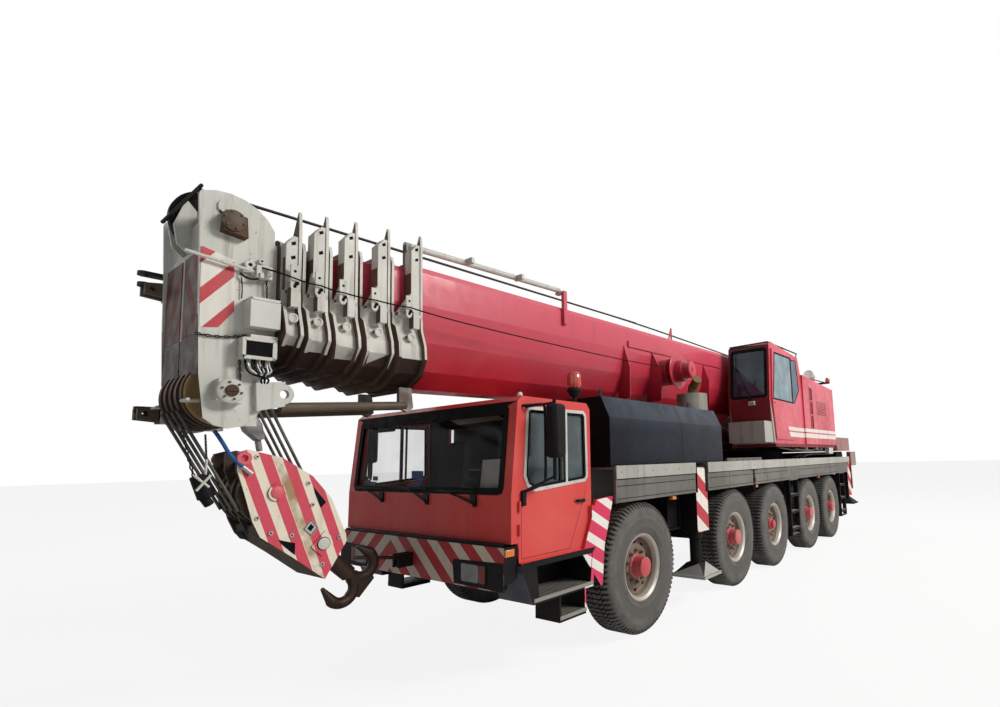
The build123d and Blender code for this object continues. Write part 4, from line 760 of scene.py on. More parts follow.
def turned(name, profiles, units=(), steps=64):
    """Profiles turned about the axle, with finished units added."""
    bm = bmesh.new()
    for line in profiles:
        lathe(bm, line, (0, 0, 0), steps=steps)
    bmesh.ops.remove_doubles(bm, verts=bm.verts, dist=TINY)
    bmesh.ops.recalc_face_normals(bm, faces=bm.faces)
    for unit in units:
        bm.from_mesh(unit)
    return as_mesh(bm, name)


carcass = TYRE_SIDE + [(0.6695, 0.0)] + [(r, -y) for r, y in reversed(TYRE_SIDE)]
tyre = turned("tyre", [carcass], [grown_round(tread_unit(), "tread_lugs", 78)], 96)
# each point's distance from the axle, and where it lies deep in a groove, for the groove's painted shade
spans = [math.hypot(v.co.x, v.co.z) for v in tyre.vertices]
deep = [float(GROOVE_FROM < r < GROOVE_TO and abs(v.co.y) < GROOVE_REACH)
    for r, v in zip(spans, tyre.vertices)]
for label, values in (("reach", spans), ("groove_shade", deep)):
    tyre.attributes.new(label, "FLOAT", "POINT").data.foreach_set("value", values)
rim = turned("rim", [RIM_LINE, INNER_RIM, FAR_DISC],
    [grown_round(nut_unit(0.1675, 0.063, 0.045, 0.0165), "wheel_nuts", 10)])
driven_cap = turned("driven_cap", [DRIVEN_CAP],
    [grown_round(nut_unit(0.112, 0.075, 0.016, 0.009), "cap_bolts", 12)])
trailing_cap = turned("trailing_cap", [TRAILING_CAP])
# dark discs of painted shade in the oval hand holes of the rim disc, between the bead seat and the nuts
hole = bmesh.new()
bar(hole, (0, 0.03, 0.247), (0, 0.052, 0.247), 0.021, 14)
hand_holes = grown_round(hole, "hand_holes", 10)


def set_wheel_part(part, mesh, finish, number, side, s):
    """A wheel's part at its place, on the wheel's body."""
    x, label = AXLES[number], number + "_" + side
    bm = bmesh.new()
    bm.from_mesh(mesh)
    if s < 0:
        bm.transform(Matrix.Rotation(math.pi, 4, "Z"))
    bm.transform(Matrix.Translation((x, s * WHEEL_Y, AXLE_Z)))
    made = as_mesh(bm, part + label, 38)
    wheel_part = show(part + label, made, "wheel_" + label, finish)
    if part == "rim_":
        # the disc inside the bright flange is browner: dust, and painted shade in its recess
        made.materials.append(rim_disc_dust_and_shade)
        made.polygons.foreach_set("material_index",
            [int(s * face.center.y > WHEEL_Y + DISC_REACH
            and DISC_FROM < math.hypot(face.center.x - x, face.center.z - AXLE_Z) < DISC_TO)
            for face in made.polygons])
    if part == "tyre_":
        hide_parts("wheel_" + label)


for number in AXLES:
    for side, s in SIDES:
        for part, mesh, finish, slot in (("tyre_", tyre, rubber_with_groove_shade, "tyre"),
                ("rim_", rim, rim_silver, "steel"), ("hand_holes_", hand_holes, black_rubber_and_shade, "chassis_black"),
                ("hub_cap_", trailing_cap if number == "3" else driven_cap, hub_red, "paint_red")):
            set_wheel_part(part, mesh, finish, number, side, s)

# ------------------------------------------------------------------ head of the boom
HEAD_BOARD = [(12.143, 0.467), (11.949, 0.418), (11.937, 0.052), (12.026, -0.074), (12.132, -0.088)]
on_tip_sides("head_side_board", head_board, (plate, HEAD_BOARD, "y", 0.4005, 0.4045))
on_tip_sides("head_covers", cream, (lathe,
    [(0, 0), (0.085, 0), (0.085, 0.012), (0.07, 0.022), (0.045, 0.026), (0, 0.026)],
    (11.962, 0.475, -0.512), "y", 36), (block, 11.742, 11.772, 0.468, 0.5, 0.325, 0.385),
    (block, 11.79, 11.815, 0.468, 0.488, 0.305, 0.345),
    (plate, [(11.7, 0.128), (11.868, 0.128), (11.88, 0.15), (11.69, 0.15)], "y", 0.402, 0.536),
    (block, 11.752, 11.868, 0.29, 0.345, -0.742, -0.655), bevel=0.004)
on_tip_sides("head_pin_cap", jib_grey, (lathe,
    [(0, 0), (0.074, 0), (0.074, 0.014), (0.06, 0.02), (0.034, 0.034), (0, 0.034)], (11.985, 0.4755, 0.672),
    "y", 32))
SIXTHS = [(0.058 * math.cos(t), 0.058 * math.sin(t)) for t in (math.radians(60 * k + 15) for k in range(6))]
for cap, x, z in (("upper", 11.985, 0.672), ("lower", 11.962, -0.512)):
    on_tip_sides("head_bolts_" + cap, jib_grey,
        *[(bar, (x + a, 0.485, z + b), (x + a, 0.508, z + b), 0.0085, 6) for a, b in SIXTHS])
on_tip("head_front_boards", front_board_painted_shade, *[(block, 12.1225, 12.128, s * 0.03, s * 0.385, -0.12, 0.46)
    for s in (1, -1)])
on_tip("head_front_apron", greasy, *[(block, 12.1225, 12.127, s * 0.012, s * 0.392, -0.4, -0.128)
    for s in (1, -1)])
# load display with its screen and the bundle of leads under it
on_tip("display_frame", cream, (block, 11.862, 11.91, 0.4045, 0.49, -0.285, -0.135),
    (border, rounded(11.704, 11.906, -0.28, -0.14, 0.01), 0.005, "y", 0.49, 0.5, 0.018), bevel=0.002)
on_tip("display_screen", black_rubber_and_shade, (plate, rounded(11.716, 11.894, -0.27, -0.152, 0.006), "y", 0.49, 0.4945),
    slot="glass")
for k in range(12):
    x = 11.712 + 0.015 * k
    tip_pipe("display_lead_%d" % (k + 1), (black_plastic, cream, zinc, black_rubber_and_shade)[k % 4], 0.0062,
        [(x, 0.446 + 0.004 * (k % 3), -0.272), (x + 0.004, 0.455, -0.315),
        (x - 0.03 + 0.009 * (k % 5), 0.472, -0.35 - 0.014 * (k % 4)),
        (11.8 - 0.008 * k, 0.44 + 0.006 * (k % 4), -0.405), (11.73 + 0.011 * (k % 5), 0.436, -0.455),
        (11.742, 0.406, -0.5)], slot="paint_black")
chain(TIP, "head_chain", 0.034, (12.14, 0.414, -0.138), (11.872, 0.414, -0.112), 0.014, BOOM)
chain(TIP, "head_chain_end", 0.03, (11.905, 0.416, -0.128), (11.89, 0.418, -0.42), place=BOOM)
chain(TIP, "head_chain_upright", 0.028, (11.752, 0.426, 0.35), (11.742, 0.426, 0.1), place=BOOM)
# small gear by the rod's bracket: rollers, clamps and a loop of lead
on_tip("bracket_gear", cream, (plate, [(11.77, 0.33), (11.905, 0.318), (11.91, 0.372), (11.85, 0.455),
    (11.775, 0.47)], "y", 0.404, 0.414), (disc, 11.862, 0.414, 0.398, 0.034, 0.028),
    (disc, 11.792, 0.414, 0.44, 0.02, 0.036), (block, 11.73, 11.775, 0.404, 0.452, 0.325, 0.372),
    (block, 11.812, 11.85, 0.414, 0.44, 0.325, 0.345),
    (bar, (11.905, 0.43, 0.345), (11.83, 0.446, 0.352), 0.009), bevel=0.003)
# dark discs as painted shade in the bracket's holes
on_tip("bracket_holes", black_rubber_and_shade, (disc, 11.862, 0.442, 0.398, 0.013, 0.001),
    (disc, 11.792, 0.45, 0.44, 0.008, 0.001), (disc, 11.753, 0.452, 0.348, 0.009, 0.001))
tip_pipe("bracket_loop", black_rubber_and_shade, 0.006, [(11.915, 0.424, 0.33), (11.9, 0.44, 0.3), (11.85, 0.446, 0.292),
    (11.8, 0.44, 0.31), (11.78, 0.43, 0.345)])
tip_pipe("head_side_lead", black_rubber_and_shade, 0.004, [(11.905, 0.412, 0.3), (11.895, 0.42, 0.22), (11.9, 0.414, 0.15)])
# prongs that carry the jib's pins, at the far side of the head
fitting(TIP, "jib_prongs", chain_black,
    *[(block, x0 - 0.02, x1, -0.52, -0.445, z, z + 0.03)
    for x0, x1, z in ((7.095, 7.255, 3.3), (7.095, 7.25, 3.215), (7.085, 7.205, 2.278),
    (7.085, 7.2, 2.222))], *[(bar, (x, -0.4825, z), (x, -0.4825, z + 0.03), 0.0375, 20)
    for x, z in ((7.255, 3.3), (7.25, 3.215), (7.205, 2.278), (7.2, 2.222))],
    (block, 7.06, 7.12, -0.535, -0.4, 3.19, 3.345), (block, 7.05, 7.11, -0.535, -0.4, 2.21, 2.32),
    slot="paint_black", bevel=0.004)
# dished face of the outer sheaves, and the rope guards
on_tip_sides("sheave_dish", sheave_face, (lathe,
    [(0.072, 0.002), (0.09, 0.016), (0.12, 0.01), (0.19, 0.004), (0.205, 0.012), (0.222, 0.012),
    (0.226, 0.0), (0.072, 0.0)], (11.936, 0.2525, -0.511)))
on_tip_sides("sheave_guard", cream, (bar, (12.171, 0.285, -0.572), (12.052, 0.285, -0.566), 0.013),
    (bar, (12.171, 0.262, -0.572), (12.171, 0.4, -0.572), 0.01))
on_tip_sides("lower_axle_boss", rusty, (bar, (11.962, 0.5, -0.512), (11.962, 0.514, -0.512), 0.04, 18),
    (block, 11.925, 12.0, 0.5, 0.52, -0.52, -0.503), bevel=0.003)
on_tip("top_rope_guard", black_plastic, *[(bar, (12.237, s * 0.09, 0.753), (12.078, s * 0.09, 1.02), 0.012)
    for s in (1, -1)], *[(bar, (12.078, s * 0.09, 1.02), (12.06, s * 0.09, 0.8), 0.009) for s in (1, -1)],
    (bar, (12.237, -0.11, 0.753), (12.237, 0.11, 0.753), 0.013),
    (bar, (12.078, -0.11, 1.02), (12.078, 0.11, 1.02), 0.013))
on_tip("top_shackle", signal_red, (ring, 12.07, 0.07, 0.985, 0.014, 0.026, 0.01), slot="paint_red")

# ------------------------------------------------------------------ collars
POST_TOPS = (0.915, 0.872, 0.842, 0.812, 0.675)
SLOTS = ((0.868, 0.772), (0.822, 0.706), (0.792, 0.635), (0.763, 0.6), (0.617, 0.508))
GUIDES = [(10.68, 0.292), (10.996, 0.291), (11.259, 0.295), (11.442, 0.312), (11.615, 0.322), (11.8, 0.385)]
for k, body in enumerate(SECTION_BODIES):
    s0, wide = COLLARS[k]
    post = min(0.11, wide - 0.015)
    foot = 0.615 - 0.034 * k
    guide, level = GUIDES[k]
    cap_line = [(s0 + 0.002, foot), (s0 + post, foot), (s0 + post, POST_TOPS[k] - 0.07),
        (s0 + 0.055, POST_TOPS[k]), (s0 + 0.002, POST_TOPS[k])]
    step_line = [(s0 + post - 0.004, 0.255), (s0 + wide - 0.028, 0.255), (s0 + post - 0.004, 0.455)]
    ear = [(guide - 0.03, level + 0.11), (guide - 0.03, level - 0.06), (guide - 0.012, level - 0.088),
        (guide + 0.012, level - 0.088), (guide + 0.03, level - 0.06), (guide + 0.03, level + 0.11)]
    pair(body, "collar_plates_%d" % (k + 1), cream_low, (plate, cap_line, "y", 0.395, 0.4972),
        (plate, step_line, "y", 0.455, 0.4965), (plate, ear, "y", 0.548, 0.562),
        (block, guide - 0.022, guide + 0.022, 0.498, 0.549, level - 0.01, level + 0.04),
        (ring, s0 + wide * 0.5, 0.5352, 0.04, 0.02, 0.036, 0.006), place=BOOM, bevel=0.003)
    # dark sheets of painted shade in the collar's slots and the guide's holes, and a dark roller
    pair(body, "collar_slot_shades_%d" % (k + 1), black_rubber_and_shade,
        *[(plate, [(s0 + 0.038, t - 0.004), (s0 + 0.068, t - 0.02), (s0 + 0.074, t + 0.004),
        (s0 + 0.044, t + 0.02)], "y", 0.4973, 0.4985) for t in SLOTS[k]],
        (disc, guide, 0.5621, level + 0.062, 0.01, 0.002),
        (disc, guide, 0.5621, level - 0.052, 0.012, 0.002),
        (bar, (guide - 0.012, 0.5, level - 0.03), (guide - 0.012, 0.575, level - 0.03), 0.013), place=BOOM)
    # signal lead that passes through the guides, each section with its own length
    here, there = GUIDES[k], GUIDES[k + 1]
    pipe(body if k < 4 else TIP, "signal_lead_%d" % (k + 2), black_rubber_and_shade, 0.006,
        [(here[0], 0.582, here[1]), ((here[0] + there[0]) / 2, 0.583, (here[1] + there[1]) / 2 - 0.012),
        (there[0] - 0.004, 0.582 if k < 4 else 0.47, there[1])], place=BOOM)
base_pipe("signal_lead_1", black_rubber_and_shade, 0.006, [(10.68, 0.582, 0.292), (10.45, 0.58, 0.262), (9.0, 0.6, 0.215),
    (7.2, 0.65, 0.175), (6.4, 0.7, 0.19), (6.22, 0.722, 0.33)])
# hoist rope over the boom: every section carries the run that lies behind its own collar
tip_pipe("hoist_rope_tip", wire_rope, 0.0125,
    [(12.06, 0, 1.01), (11.98, 0, 1.03), (11.8, 0, 1.032), (9.0, 0, 1.03), (6.2, 0, 1.028)])
for k, body in enumerate(SECTION_BODIES[1:], start=1):
    pipe(body, "hoist_rope_%d" % k, wire_rope, 0.0122 - 0.0002 * k,
        [(COLLARS[k][0] + 0.1, 0, 1.031), (9.0, 0, 1.03), (6.2, 0, 1.028)], place=BOOM)
base_pipe("hoist_rope_base", wire_rope, 0.0125,
    [(10.6, 0, 1.03), (8.0, 0, 1.029), (6.2, 0, 1.028), (3.5, 0, 0.955), (1.2, 0, 0.89), (0.35, 0, 0.86)])
on_base("tail_rope_guide", dark_red_paint_and_shade, *[(plate,
    [(0.18, 0.66), (0.62, 0.66), (0.5, 0.9), (0.34, 0.93), (0.22, 0.88)], "y", s * 0.06, s * 0.075)
    for s in (1, -1)], (bar, (0.35, -0.075, 0.8), (0.35, 0.075, 0.8), 0.05))
on_base("lead_clips", cream, *[(block, x - 0.02, x + 0.02, 0.352, 0.472, 0.93, 0.99) for x in (9.2, 9.9)],
    bevel=0.004)
# reel: its paler cap, and a ring round its drum
on_base("reel_cap", upper_red, (lathe, [(0, 0), (0.118, 0), (0.118, 0.006), (0.1, 0.012), (0.03, 0.014),
    (0.024, 0.024), (0, 0.024)], (6.185, 0.9605, 0.15), "y", 36),
    (lathe, [(0.262, 0), (0.272, 0.004), (0.272, 0.016), (0.262, 0.02)], (6.185, 0.715, 0.15)))

# ------------------------------------------------------------------ hook block
BLOCK_BOLTS = [(0.07, 0.495), (0.214, 1.123), (-0.028, 1.037), (0.31, 1.01), (0.176, 1.462),
    (-0.036, 1.384), (-0.098, 0.882), (0.315, 0.86)]
on_block_sides("block_pins", pin_pink, (lathe,
    [(0, 0), (0.044, 0), (0.044, 0.01), (0.038, 0.014), (0, 0.014)], (0.114, 0.2505, -0.793), "y", 36),
    (ring, 0.143, 0.2402, -0.452, 0.024, 0.046, 0.022))
on_block_sides("block_crosshead_caps", cream,
    (lathe, [(0, 0), (0.045, 0), (0.045, 0.008), (0.038, 0.011), (0, 0.011)], (0.08, 0.2503, -1.339), "y",
    36))
on_block_sides("block_bolts", zinc,
    *[(bar, (e, 0.24, -d), (e, 0.25, -d), 0.017, 6) for e, d in BLOCK_BOLTS],
    (plate, [(0.042, -1.122), (0.038, -1.211), (0.118, -1.23), (0.131, -1.14)], "y", 0.2402, 0.2425))
# dark sheets of painted shade in the block's openings and on the bolt ends; the rings and the border are
# dark joints
on_block_sides("block_openings", black_rubber_and_shade, (plate,
    [(0.3, -1.085), (0.228, -1.19), (0.28, -1.262), (0.302, -1.13)], "y", 0.2402, 0.2412),
    (plate, [(-0.112, -0.925), (-0.118, -1.09), (-0.06, -1.1), (-0.092, -0.975)], "y", 0.2402, 0.2412),
    *[(disc, e, 0.2501, -d, 0.007, 0.0006) for e, d in BLOCK_BOLTS],
    (ring, 0.114, 0.2502, -0.793, 0.045, 0.05, 0.002), (ring, 0.08, 0.2502, -1.339, 0.046, 0.051, 0.002),
    (border, [(0.048, -1.128), (0.045, -1.206), (0.114, -1.222), (0.124, -1.146)], 0.003, "y", 0.2424,
    0.243, 0.002), (plate, [(0.062, -1.15), (0.06, -1.186), (0.098, -1.196), (0.104, -1.16)], "y", 0.2424,
    0.243), slot="rusty_steel")
# dark sheet of painted shade in the block's front opening
on_block("block_front_opening", black_rubber_and_shade, (block, 0.379, 0.3815, -0.2, -0.03, -1.035, -0.955),
    slot="rusty_steel")
pipe(BLOCK_BODY, "sling_rope", blue_hose, 0.013,
    [(0.165, 0.19, -0.19), (0.17, 0.2, -0.27), (0.2, 0.235, -0.4), (0.186, 0.262, -0.5)], place=HANG)
on_block("sling_ferrule", zinc, (bar, (0.187, 0.262, -0.492), (0.17, 0.262, -0.572), 0.016))
on_block("rope_socket", jack_grey, (plate,
    [(-0.166, -0.27), (-0.06, -0.255), (-0.04, -0.33), (-0.062, -0.44), (-0.112, -0.455), (-0.158, -0.35)],
    "y", -0.05, 0.05), (bar, (-0.1, -0.062, -0.3), (-0.1, 0.062, -0.3), 0.02),
    (bar, (-0.078, 0, -0.44), (-0.04, 0, -0.52), 0.022), bevel=0.008)
# switch weight that hangs on its chains in front of the falls
fitting(BLOCK_BODY, "switch_weight", black_plastic, (bar, (7.04, 0.3, 1.8), (6.985, 0.3, 1.65), 0.052, 20),
    (bar, (7.0, 0.3, 1.652), (6.965, 0.3, 1.6), 0.03, 14), bevel=0.006)
fitting(BLOCK_BODY, "switch_frame", cream, (bar, (7.075, 0.345, 1.8), (6.99, 0.345, 1.72), 0.009),
    (bar, (7.06, 0.35, 1.7), (6.985, 0.35, 1.8), 0.009),
    (bar, (7.01, 0.335, 1.905), (7.012, 0.335, 1.79), 0.008))
chain(BLOCK_BODY, "switch_chain_long", 0.036, (7.15, 0.33, 2.075), (7.075, 0.33, 1.8), 0.006)
chain(BLOCK_BODY, "switch_chain_short", 0.026, (7.02, 0.31, 2.06), (7.008, 0.33, 1.88))
on_carrier("tie_rod", hook_steel, (bar, (5.362, 0, 0.985), (5.8, 0.0, 1.052), 0.016),
    (bar, (5.362, -0.02, 0.985), (5.362, 0.02, 0.985), 0.026))

# ------------------------------------------------------------------ carrier cab
SCREEN = leaning(-75 / 810, 1.555)


def wiper(bm, y, tip_y, tip_z):
    """Arm, blade and foot cover of a wiper."""
    half = (5.196, (y + tip_y) / 2, (1.5 + tip_z) / 2)
    bar(bm, (5.2, y, 1.488), half, 0.013, 10, 0.009)
    bar(bm, half, (5.196, tip_y, tip_z), 0.009, 10, 0.006)
    block(bm, 5.189, 5.196, tip_y - 0.1, y - 0.02, tip_z - 0.02, tip_z - 0.004)
    plate(bm, [(y - 0.075, 1.56), (y + 0.012, 1.56), (y + 0.022, 1.462), (y - 0.01, 1.455)], "x", 5.18,
        5.198)


# rubber seal of the windscreen, and a black band of painted shade across its top
on_carrier("windscreen_seal", black_rubber_and_shade, (border, rounded(-1.19, 1.19, 1.575, 2.33, 0.06), 0.012, "x", 5.1805,
    5.1865, 0.048), (block, 5.1795, 5.1835, -1.16, 1.16, 2.245, 2.3), place=SCREEN)
on_carrier("wipers", black_plastic, (wiper, -0.604, -1.05, 1.612), (wiper, 0.166, -0.23, 1.62),
    (wiper, 0.859, 0.359, 1.6), place=SCREEN, bevel=0.002)
on_carrier("cab_front_lip", black_plastic, (block, 5.1, 5.236, -1.235, 1.235, 1.146, 1.172), bevel=0.005)
on_carrier("dash_sheet", paper, (plate, [(0.885, 1.861), (1.12, 1.867), (1.082, 1.6), (0.846, 1.596)], "x",
    5.128, 5.13))
on_carrier("dash_folder", blue_card, (plate, [(-0.3, 1.773), (-0.11, 1.771), (-0.106, 1.69), (-0.3, 1.69)],
    "x", 5.05, 5.058), (plate, [(-0.37, 1.6), (-0.03, 1.69), (-0.06, 1.6), (-0.17, 1.56)], "x", 5.1, 5.104))
on_carrier("dash_cards", grey_card, (plate, [(-1.13, 1.671), (-0.87, 1.66), (-0.98, 1.58), (-1.13, 1.57)],
    "x", 5.1, 5.103), (plate, [(-1.02, 1.72), (-0.93, 1.718), (-0.925, 1.672), (-1.025, 1.672)], "x", 5.06,
    5.064))
on_carrier("sun_visor", visor_board, (plate, [(0.2, 2.29), (0.9, 2.3), (1.08, 2.215), (0.436, 2.205)], "x",
    5.04, 5.052))
on_carrier("inside_mirror", black_rubber_and_shade, (plate, rounded(-0.98, -0.62, 2.195, 2.275, 0.035), "x", 5.05, 5.066),
    slot="interior")
DOOR_WINDOW = [(4.225, 2.3), (4.2, 2.27), (4.19, 1.69), (4.22, 1.655), (4.9, 1.6), (4.985, 1.64),
    (5.02, 1.72), (4.985, 2.27), (4.955, 2.3)]
on_doors("door_window_trim", window_trim, (border, DOOR_WINDOW, 0.02, "y", 1.2995, 1.306, 0.01),
    (block, 4.468, 4.496, 1.2995, 1.305, 1.64, 2.3))
on_doors("door_window_seal", black_rubber_and_shade, (border, DOOR_WINDOW, -0.009, "y", 1.29, 1.302, 0.032))
on_doors("mirror_shell", black_plastic, (block, 4.765, 4.915, 1.428, 1.562, 1.865, 2.335), bevel=0.036)
on_doors("door_bracket", black_plastic, (block, 5.03, 5.075, 1.3, 1.33, 1.47, 1.59), bevel=0.006)
on_doors("door_lock", brass, (disc, 4.235, 1.3, 1.458, 0.02, 0.01), (disc, 4.365, 1.3, 1.458, 0.013, 0.008))
on_doors("door_seams", dark_red_paint_and_shade, (plate, [(4.196, 1.552), (4.202, 1.552), (4.452, 1.036), (4.446, 1.036)],
    "y", 1.2995, 1.3006), (plate, [(5.062, 1.6), (5.067, 1.6), (5.067, 1.042), (5.062, 1.042)], "y", 1.2995,
    1.3006), (plate, [(4.446, 1.041), (4.446, 1.036), (5.067, 1.036), (5.067, 1.041)], "y", 1.2995, 1.3006))
# side lamp at the bumper's corner, and the lamp unit in its recess
on_carrier_sides("corner_lamp", amber, (block, 5.15, 5.252, 1.291, 1.312, 1.075, 1.135), bevel=0.006)
on_carrier_sides("lamp_housing", black_plastic,
    (plate, [(0.64, 0.995), (0.66, 0.812), (1.286, 0.806), (1.286, 1.03), (0.66, 1.014)], "x", 5.24,
    5.2535), (border, rounded(0.755, 1.075, 0.838, 0.994, 0.02), 0.014, "x", 5.253, 5.262, 0.003))
on_carrier_sides("head_lamp", lamp_glass,
    (plate, rounded(0.76, 0.985, 0.842, 0.99, 0.02), "x", 5.253, 5.258), bevel=0.003)
on_carrier_sides("tail_of_head_lamp", red_lens,
    (plate, rounded(0.99, 1.07, 0.842, 0.99, 0.02), "x", 5.253, 5.258), bevel=0.003)
on_carrier_sides("step_lips", ladder_grey, (block, 4.172, 4.968, 1.3455, 1.352, 0.672, 0.704),
    (block, 4.282, 4.648, 1.3455, 1.352, 0.456, 0.488), bevel=0.002)
for side, s in SIDES:
    pipe("door_" + side, "mirror_loop_" + side, black_plastic, 0.012,
        [(x, s * y, z) for x, y, z in ((5.05, 1.302, 2.318), (5.0, 1.385, 2.322), (4.9, 1.4, 2.34),
        (4.872, 1.4, 2.31), (4.87, 1.4, 2.0), (4.87, 1.4, 1.7), (4.885, 1.4, 1.655), (5.02, 1.395, 1.61),
        (5.065, 1.302, 1.585))])
    # gridded treads of the two steps
    for step, x0, x1, y, z, near, far, count in (("upper", 4.225, 4.885, 1.155, 0.69, -0.165, 0.178, 19),
            ("lower", 4.31, 4.62, 1.2, 0.475, -0.13, 0.135, 10)):
        slat = bmesh.new()
        block(slat, -0.01, 0.008, near, far, 0, 0.012)
        row(CARRIER, "step_grid_" + step + "_" + side, ladder_grey, slat, count, (x0, s * y, z),
            (x1, s * y, z), STILL if s > 0 else (0.0, 0.0, math.pi))
on_carrier("cab_beacon", signal_red, (lathe,
    [(0, 2.56), (0.068, 2.56), (0.073, 2.575), (0.07, 2.65), (0.064, 2.69), (0.046, 2.714), (0, 2.722)],
    (4.26, 1.225, 0), "z", 32))
on_carrier("beacon_foot", black_plastic, (lathe,
    [(0, 2.47), (0.046, 2.47), (0.058, 2.5), (0.074, 2.52), (0.074, 2.544), (0, 2.544)], (4.26, 1.225, 0),
    "z", 28))
CLIP = [(0, 0), (0.022, 0.004), (0.026, 0.022), (0.016, 0.042), (0, 0.048)]
on_carrier("roof_clips", window_trim, *[(lathe, CLIP, (5.02, y, 2.4), "z", 20) for y in (1.24, -1.24)])

# ------------------------------------------------------------------ hood and deck
on_carrier_sides("hood_seams", black_rubber_and_shade, (block, 2.216, 2.222, 1.2985, 1.3006, 1.79, 2.286),
    (block, 1.03, 3.76, 1.2985, 1.3006, 1.783, 1.789),
    (plate, [(1.3, 2.286), (1.301, 2.2865), (1.1912, 2.5206), (1.19, 2.52)], "x", 2.216, 2.222))
on_carrier_sides("hood_lift_eyes", chain_black,
    *[(plate, [(x - 0.035, 2.518), (x + 0.035, 2.518), (x + 0.022, 2.61), (x - 0.022, 2.61)], "y", 1.09,
    1.102) for x in (3.66, 1.62)])
# black sheet on the hood's front face: painted shade
on_carrier_sides("hood_end", black_rubber_and_shade, (plate, [(0.44, 1.79), (1.295, 1.79), (1.295, 2.282), (1.187, 2.515),
    (0.44, 2.515)], "x", 3.7805, 3.7835))
# pressed lines, straps and side lamps of the deck's skirt, outside the outriggers' notches
SPANS = ((2.06, 3.78), (-1.62, 1.66), (-5.3, -2.24))
on_carrier_sides("skirt_lines", chassis, *[(block, x0, x1, 1.3752, 1.3768, z, z + 0.007) for x0, x1 in SPANS
    for z in (1.43, 1.56, 1.628)])
on_carrier_sides("skirt_lips", deck_grey,
    *[(block, x0, x1, 1.375, 1.3795, 1.398, 1.412) for x0, x1 in SPANS],
    *[(block, x - 0.012, x + 0.012, 1.375, 1.379, 1.412, 1.632) for x in (0.96, -0.55, -3.4, -4.6)],
    bevel=0.002)
on_carrier_sides("skirt_latch", black_plastic, (block, 0.03, 0.066, 1.375, 1.39, 1.335, 1.625),
    (block, 0.018, 0.078, 1.375, 1.396, 1.45, 1.5), (block, -0.13, 0.15, 1.375, 1.384, 1.618, 1.632),
    slot="chassis_black", bevel=0.003)
on_carrier_sides("side_lamps", amber, *[(block, x - 0.045, x + 0.045, 1.32, 1.366, 1.345, 1.385)
    for x in (2.586, -0.1, -3.7)], bevel=0.005)
for side, s in SIDES:
    rivet = bmesh.new()
    bar(rivet, (0, -0.004, 0), (0, 0.004, 0), 0.009, 8)
    row(CARRIER, "strip_rivets_" + side, strip_grey, rivet, 34, (3.7, s * 1.388, 1.708),
        (-6.4, s * 1.388, 1.708))

# ------------------------------------------------------------------ crane cab and machine housing
CRANE_SCREEN = leaning(-0.12, 2.86)
on_upper("crane_screen_seal", black_rubber_and_shade, (border, rounded(0.62, 1.28, 2.905, 3.8, 0.05), 0.022, "x", -1.0085,
    -1.002, 0.03), place=CRANE_SCREEN)
on_upper("crane_wiper", black_plastic, (bar, (-1.004, 0.98, 2.88), (-1.0, 0.72, 3.48), 0.01, 10, 0.006),
    (block, -1.004, -0.998, 0.7, 0.712, 3.15, 3.8), (block, -1.01, -0.985, 0.95, 1.01, 2.84, 2.895),
    place=CRANE_SCREEN, bevel=0.002)
on_upper("crane_work_lamp", zinc, (block, -1.015, -0.95, 0.955, 1.085, 2.745, 2.83),
    (bar, (-1.02, 1.02, 2.79), (-1.1, 1.02, 2.79), 0.014), bevel=0.012)
PANE = [(-1.32, 3.73), (-1.135, 2.87), (-2.238, 2.862), (-2.238, 3.745)]
REAR_PANE = [(-2.3, 3.745), (-2.68, 3.765), (-2.79, 3.16), (-2.44, 2.86), (-2.3, 2.861)]
fitting("crane_cab_door", "door_pane_seal", black_rubber_and_shade, (border, PANE, 0.016, "y", 1.3683, 1.3735, 0.008))
on_upper("rear_pane_seal", black_rubber_and_shade, (border, REAR_PANE, -0.001, "y", 1.3352, 1.3396, 0.016))
on_upper("roof_rail", black_plastic, (bar, (-1.17, 1.3, 3.92), (-2.92, 1.3, 3.95), 0.013),
    (bar, (-1.15, 0.58, 3.905), (-1.17, 1.3, 3.92), 0.013),
    *[(bar, (x, 1.3, 3.84), (x, 1.3, 3.935), 0.01) for x in (-1.2, -2.05, -2.88)])
on_upper("housing_rungs", upper_red, *[(block, -3.6, -3.36, 1.3695, 1.379, z, z + 0.022)
    for z in (3.262, 2.985, 2.685, 2.385)], bevel=0.003)
on_upper("housing_seams", black_rubber_and_shade, *[(block, x, x + 0.006, 1.3695, 1.3708, 2.115, 3.4) for x in (-3.9, -4.65)],
    *[(block, -4.64, -3.905, 1.3695, 1.3712, z, z + 0.01) for z in (2.72 + 0.035 * k for k in range(9))])
beam = Vector((0.14, 0, 0.05)).to_track_quat("Z", "Y").to_matrix().to_4x4()
on_upper("floodlight_rim", window_trim, (lathe,
    [(0, 0), (0.085, 0), (0.096, 0.006), (0.112, 0.004), (0.112, -0.03), (0, -0.03)], (0, 0, 0), "z", 32),
    place=Matrix.Translation((-4.056, 1.2, 3.6515)) @ beam)
on_upper("rear_beacon", signal_red, (lathe,
    [(0, 3.59), (0.052, 3.59), (0.055, 3.66), (0.044, 3.7), (0, 3.712)], (-5.3, 1.3, 0), "z", 28))
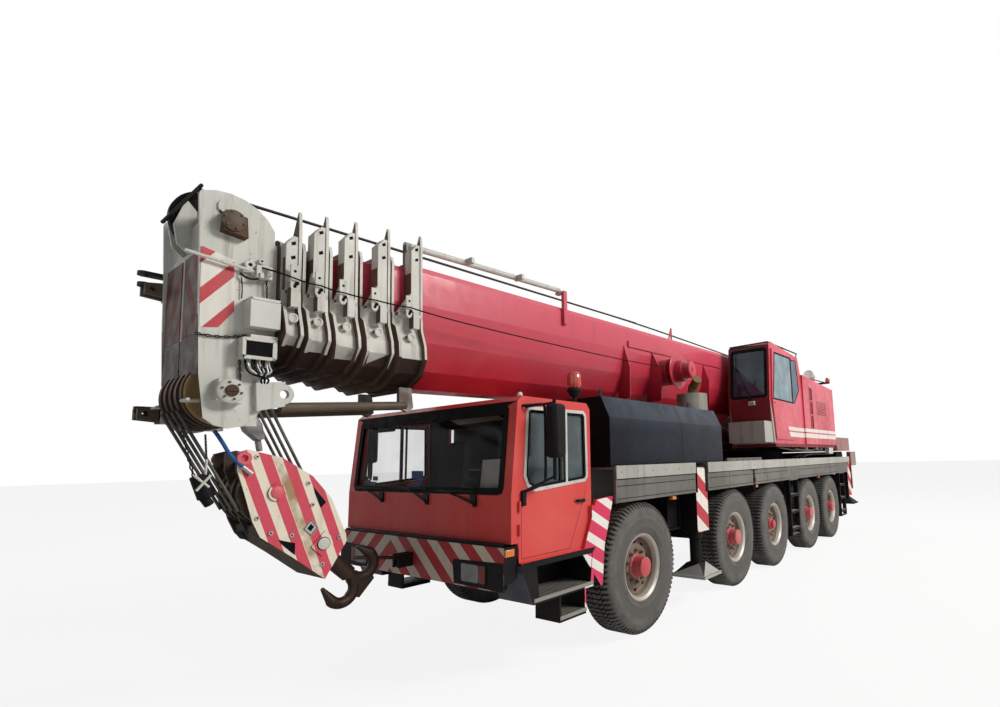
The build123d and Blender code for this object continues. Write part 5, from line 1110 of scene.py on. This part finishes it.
on_upper("rear_beacon_arm", black_plastic, (bar, (-4.3, 1.22, 3.565), (-5.3, 1.3, 3.57), 0.012),
    (bar, (-5.3, 0.93, 3.56), (-5.3, 1.3, 3.57), 0.012),
    (bar, (-5.3, 1.3, 3.56), (-5.3, 1.3, 3.592), 0.046, 20))
# hydraulic hoses, valve blocks and trays between the housing and the deck
for k, (y, z) in enumerate(((1.16, 1.975), (1.09, 2.01), (1.01, 1.96), (0.9, 2.0), (1.13, 2.035),
        (1.2, 1.95), (0.98, 2.035))):
    pipe(UPPER, "belly_hose_%d" % (k + 1), (black_rubber_and_shade, chain_black, jack_grey)[k % 3], 0.017,
        [(-2.35 - 0.1 * k, y - 0.2, 2.035), (-2.9, y, z), (-3.6, y + 0.02, z - 0.012),
        (-4.3, y - 0.03, z + 0.008), (-4.9 + 0.08 * k, y + 0.02, z - 0.01), (-5.32, y - 0.15, 2.03)],
        slot="paint_black")
on_upper("belly_blocks", jack_grey, *[(block, x - w, x + w, 0.86, 1.235, 1.94, 2.05)
    for x, w in ((-4.22, 0.07), (-4.62, 0.045), (-3.42, 0.05))], slot="paint_grey", bevel=0.01)
on_upper("belly_tray", black_rubber_and_shade, (block, -5.345, -5.325, -1.22, 1.26, 1.935, 2.058),
    (block, -5.32, -2.4, 0.62, 0.64, 1.955, 2.058), slot="chassis_black")
on_carrier("deck_tray", black_rubber_and_shade, (block, -6.36, -6.34, -1.25, 1.25, 1.7, 1.905),
    (block, -6.1, -6.08, -1.25, 1.25, 1.7, 1.905), (block, -6.33, -5.7, 0.95, 1.27, 1.7, 1.875),
    slot="chassis_black", bevel=0.004)
for k in range(4):
    pipe(CARRIER, "deck_hose_%d" % (k + 1), (black_rubber_and_shade, chain_black)[k % 2], 0.021,
        [(-2.9 - 0.1 * k, 1.06 + 0.05 * k, 1.79), (-3.3, 1.08 + 0.05 * k, 1.852),
        (-4.1, 1.06 + 0.05 * k, 1.846 + 0.01 * (k % 2)), (-5.0, 1.09 + 0.045 * k, 1.856),
        (-5.75, 1.05 + 0.05 * k, 1.84)], slot="chassis_black")
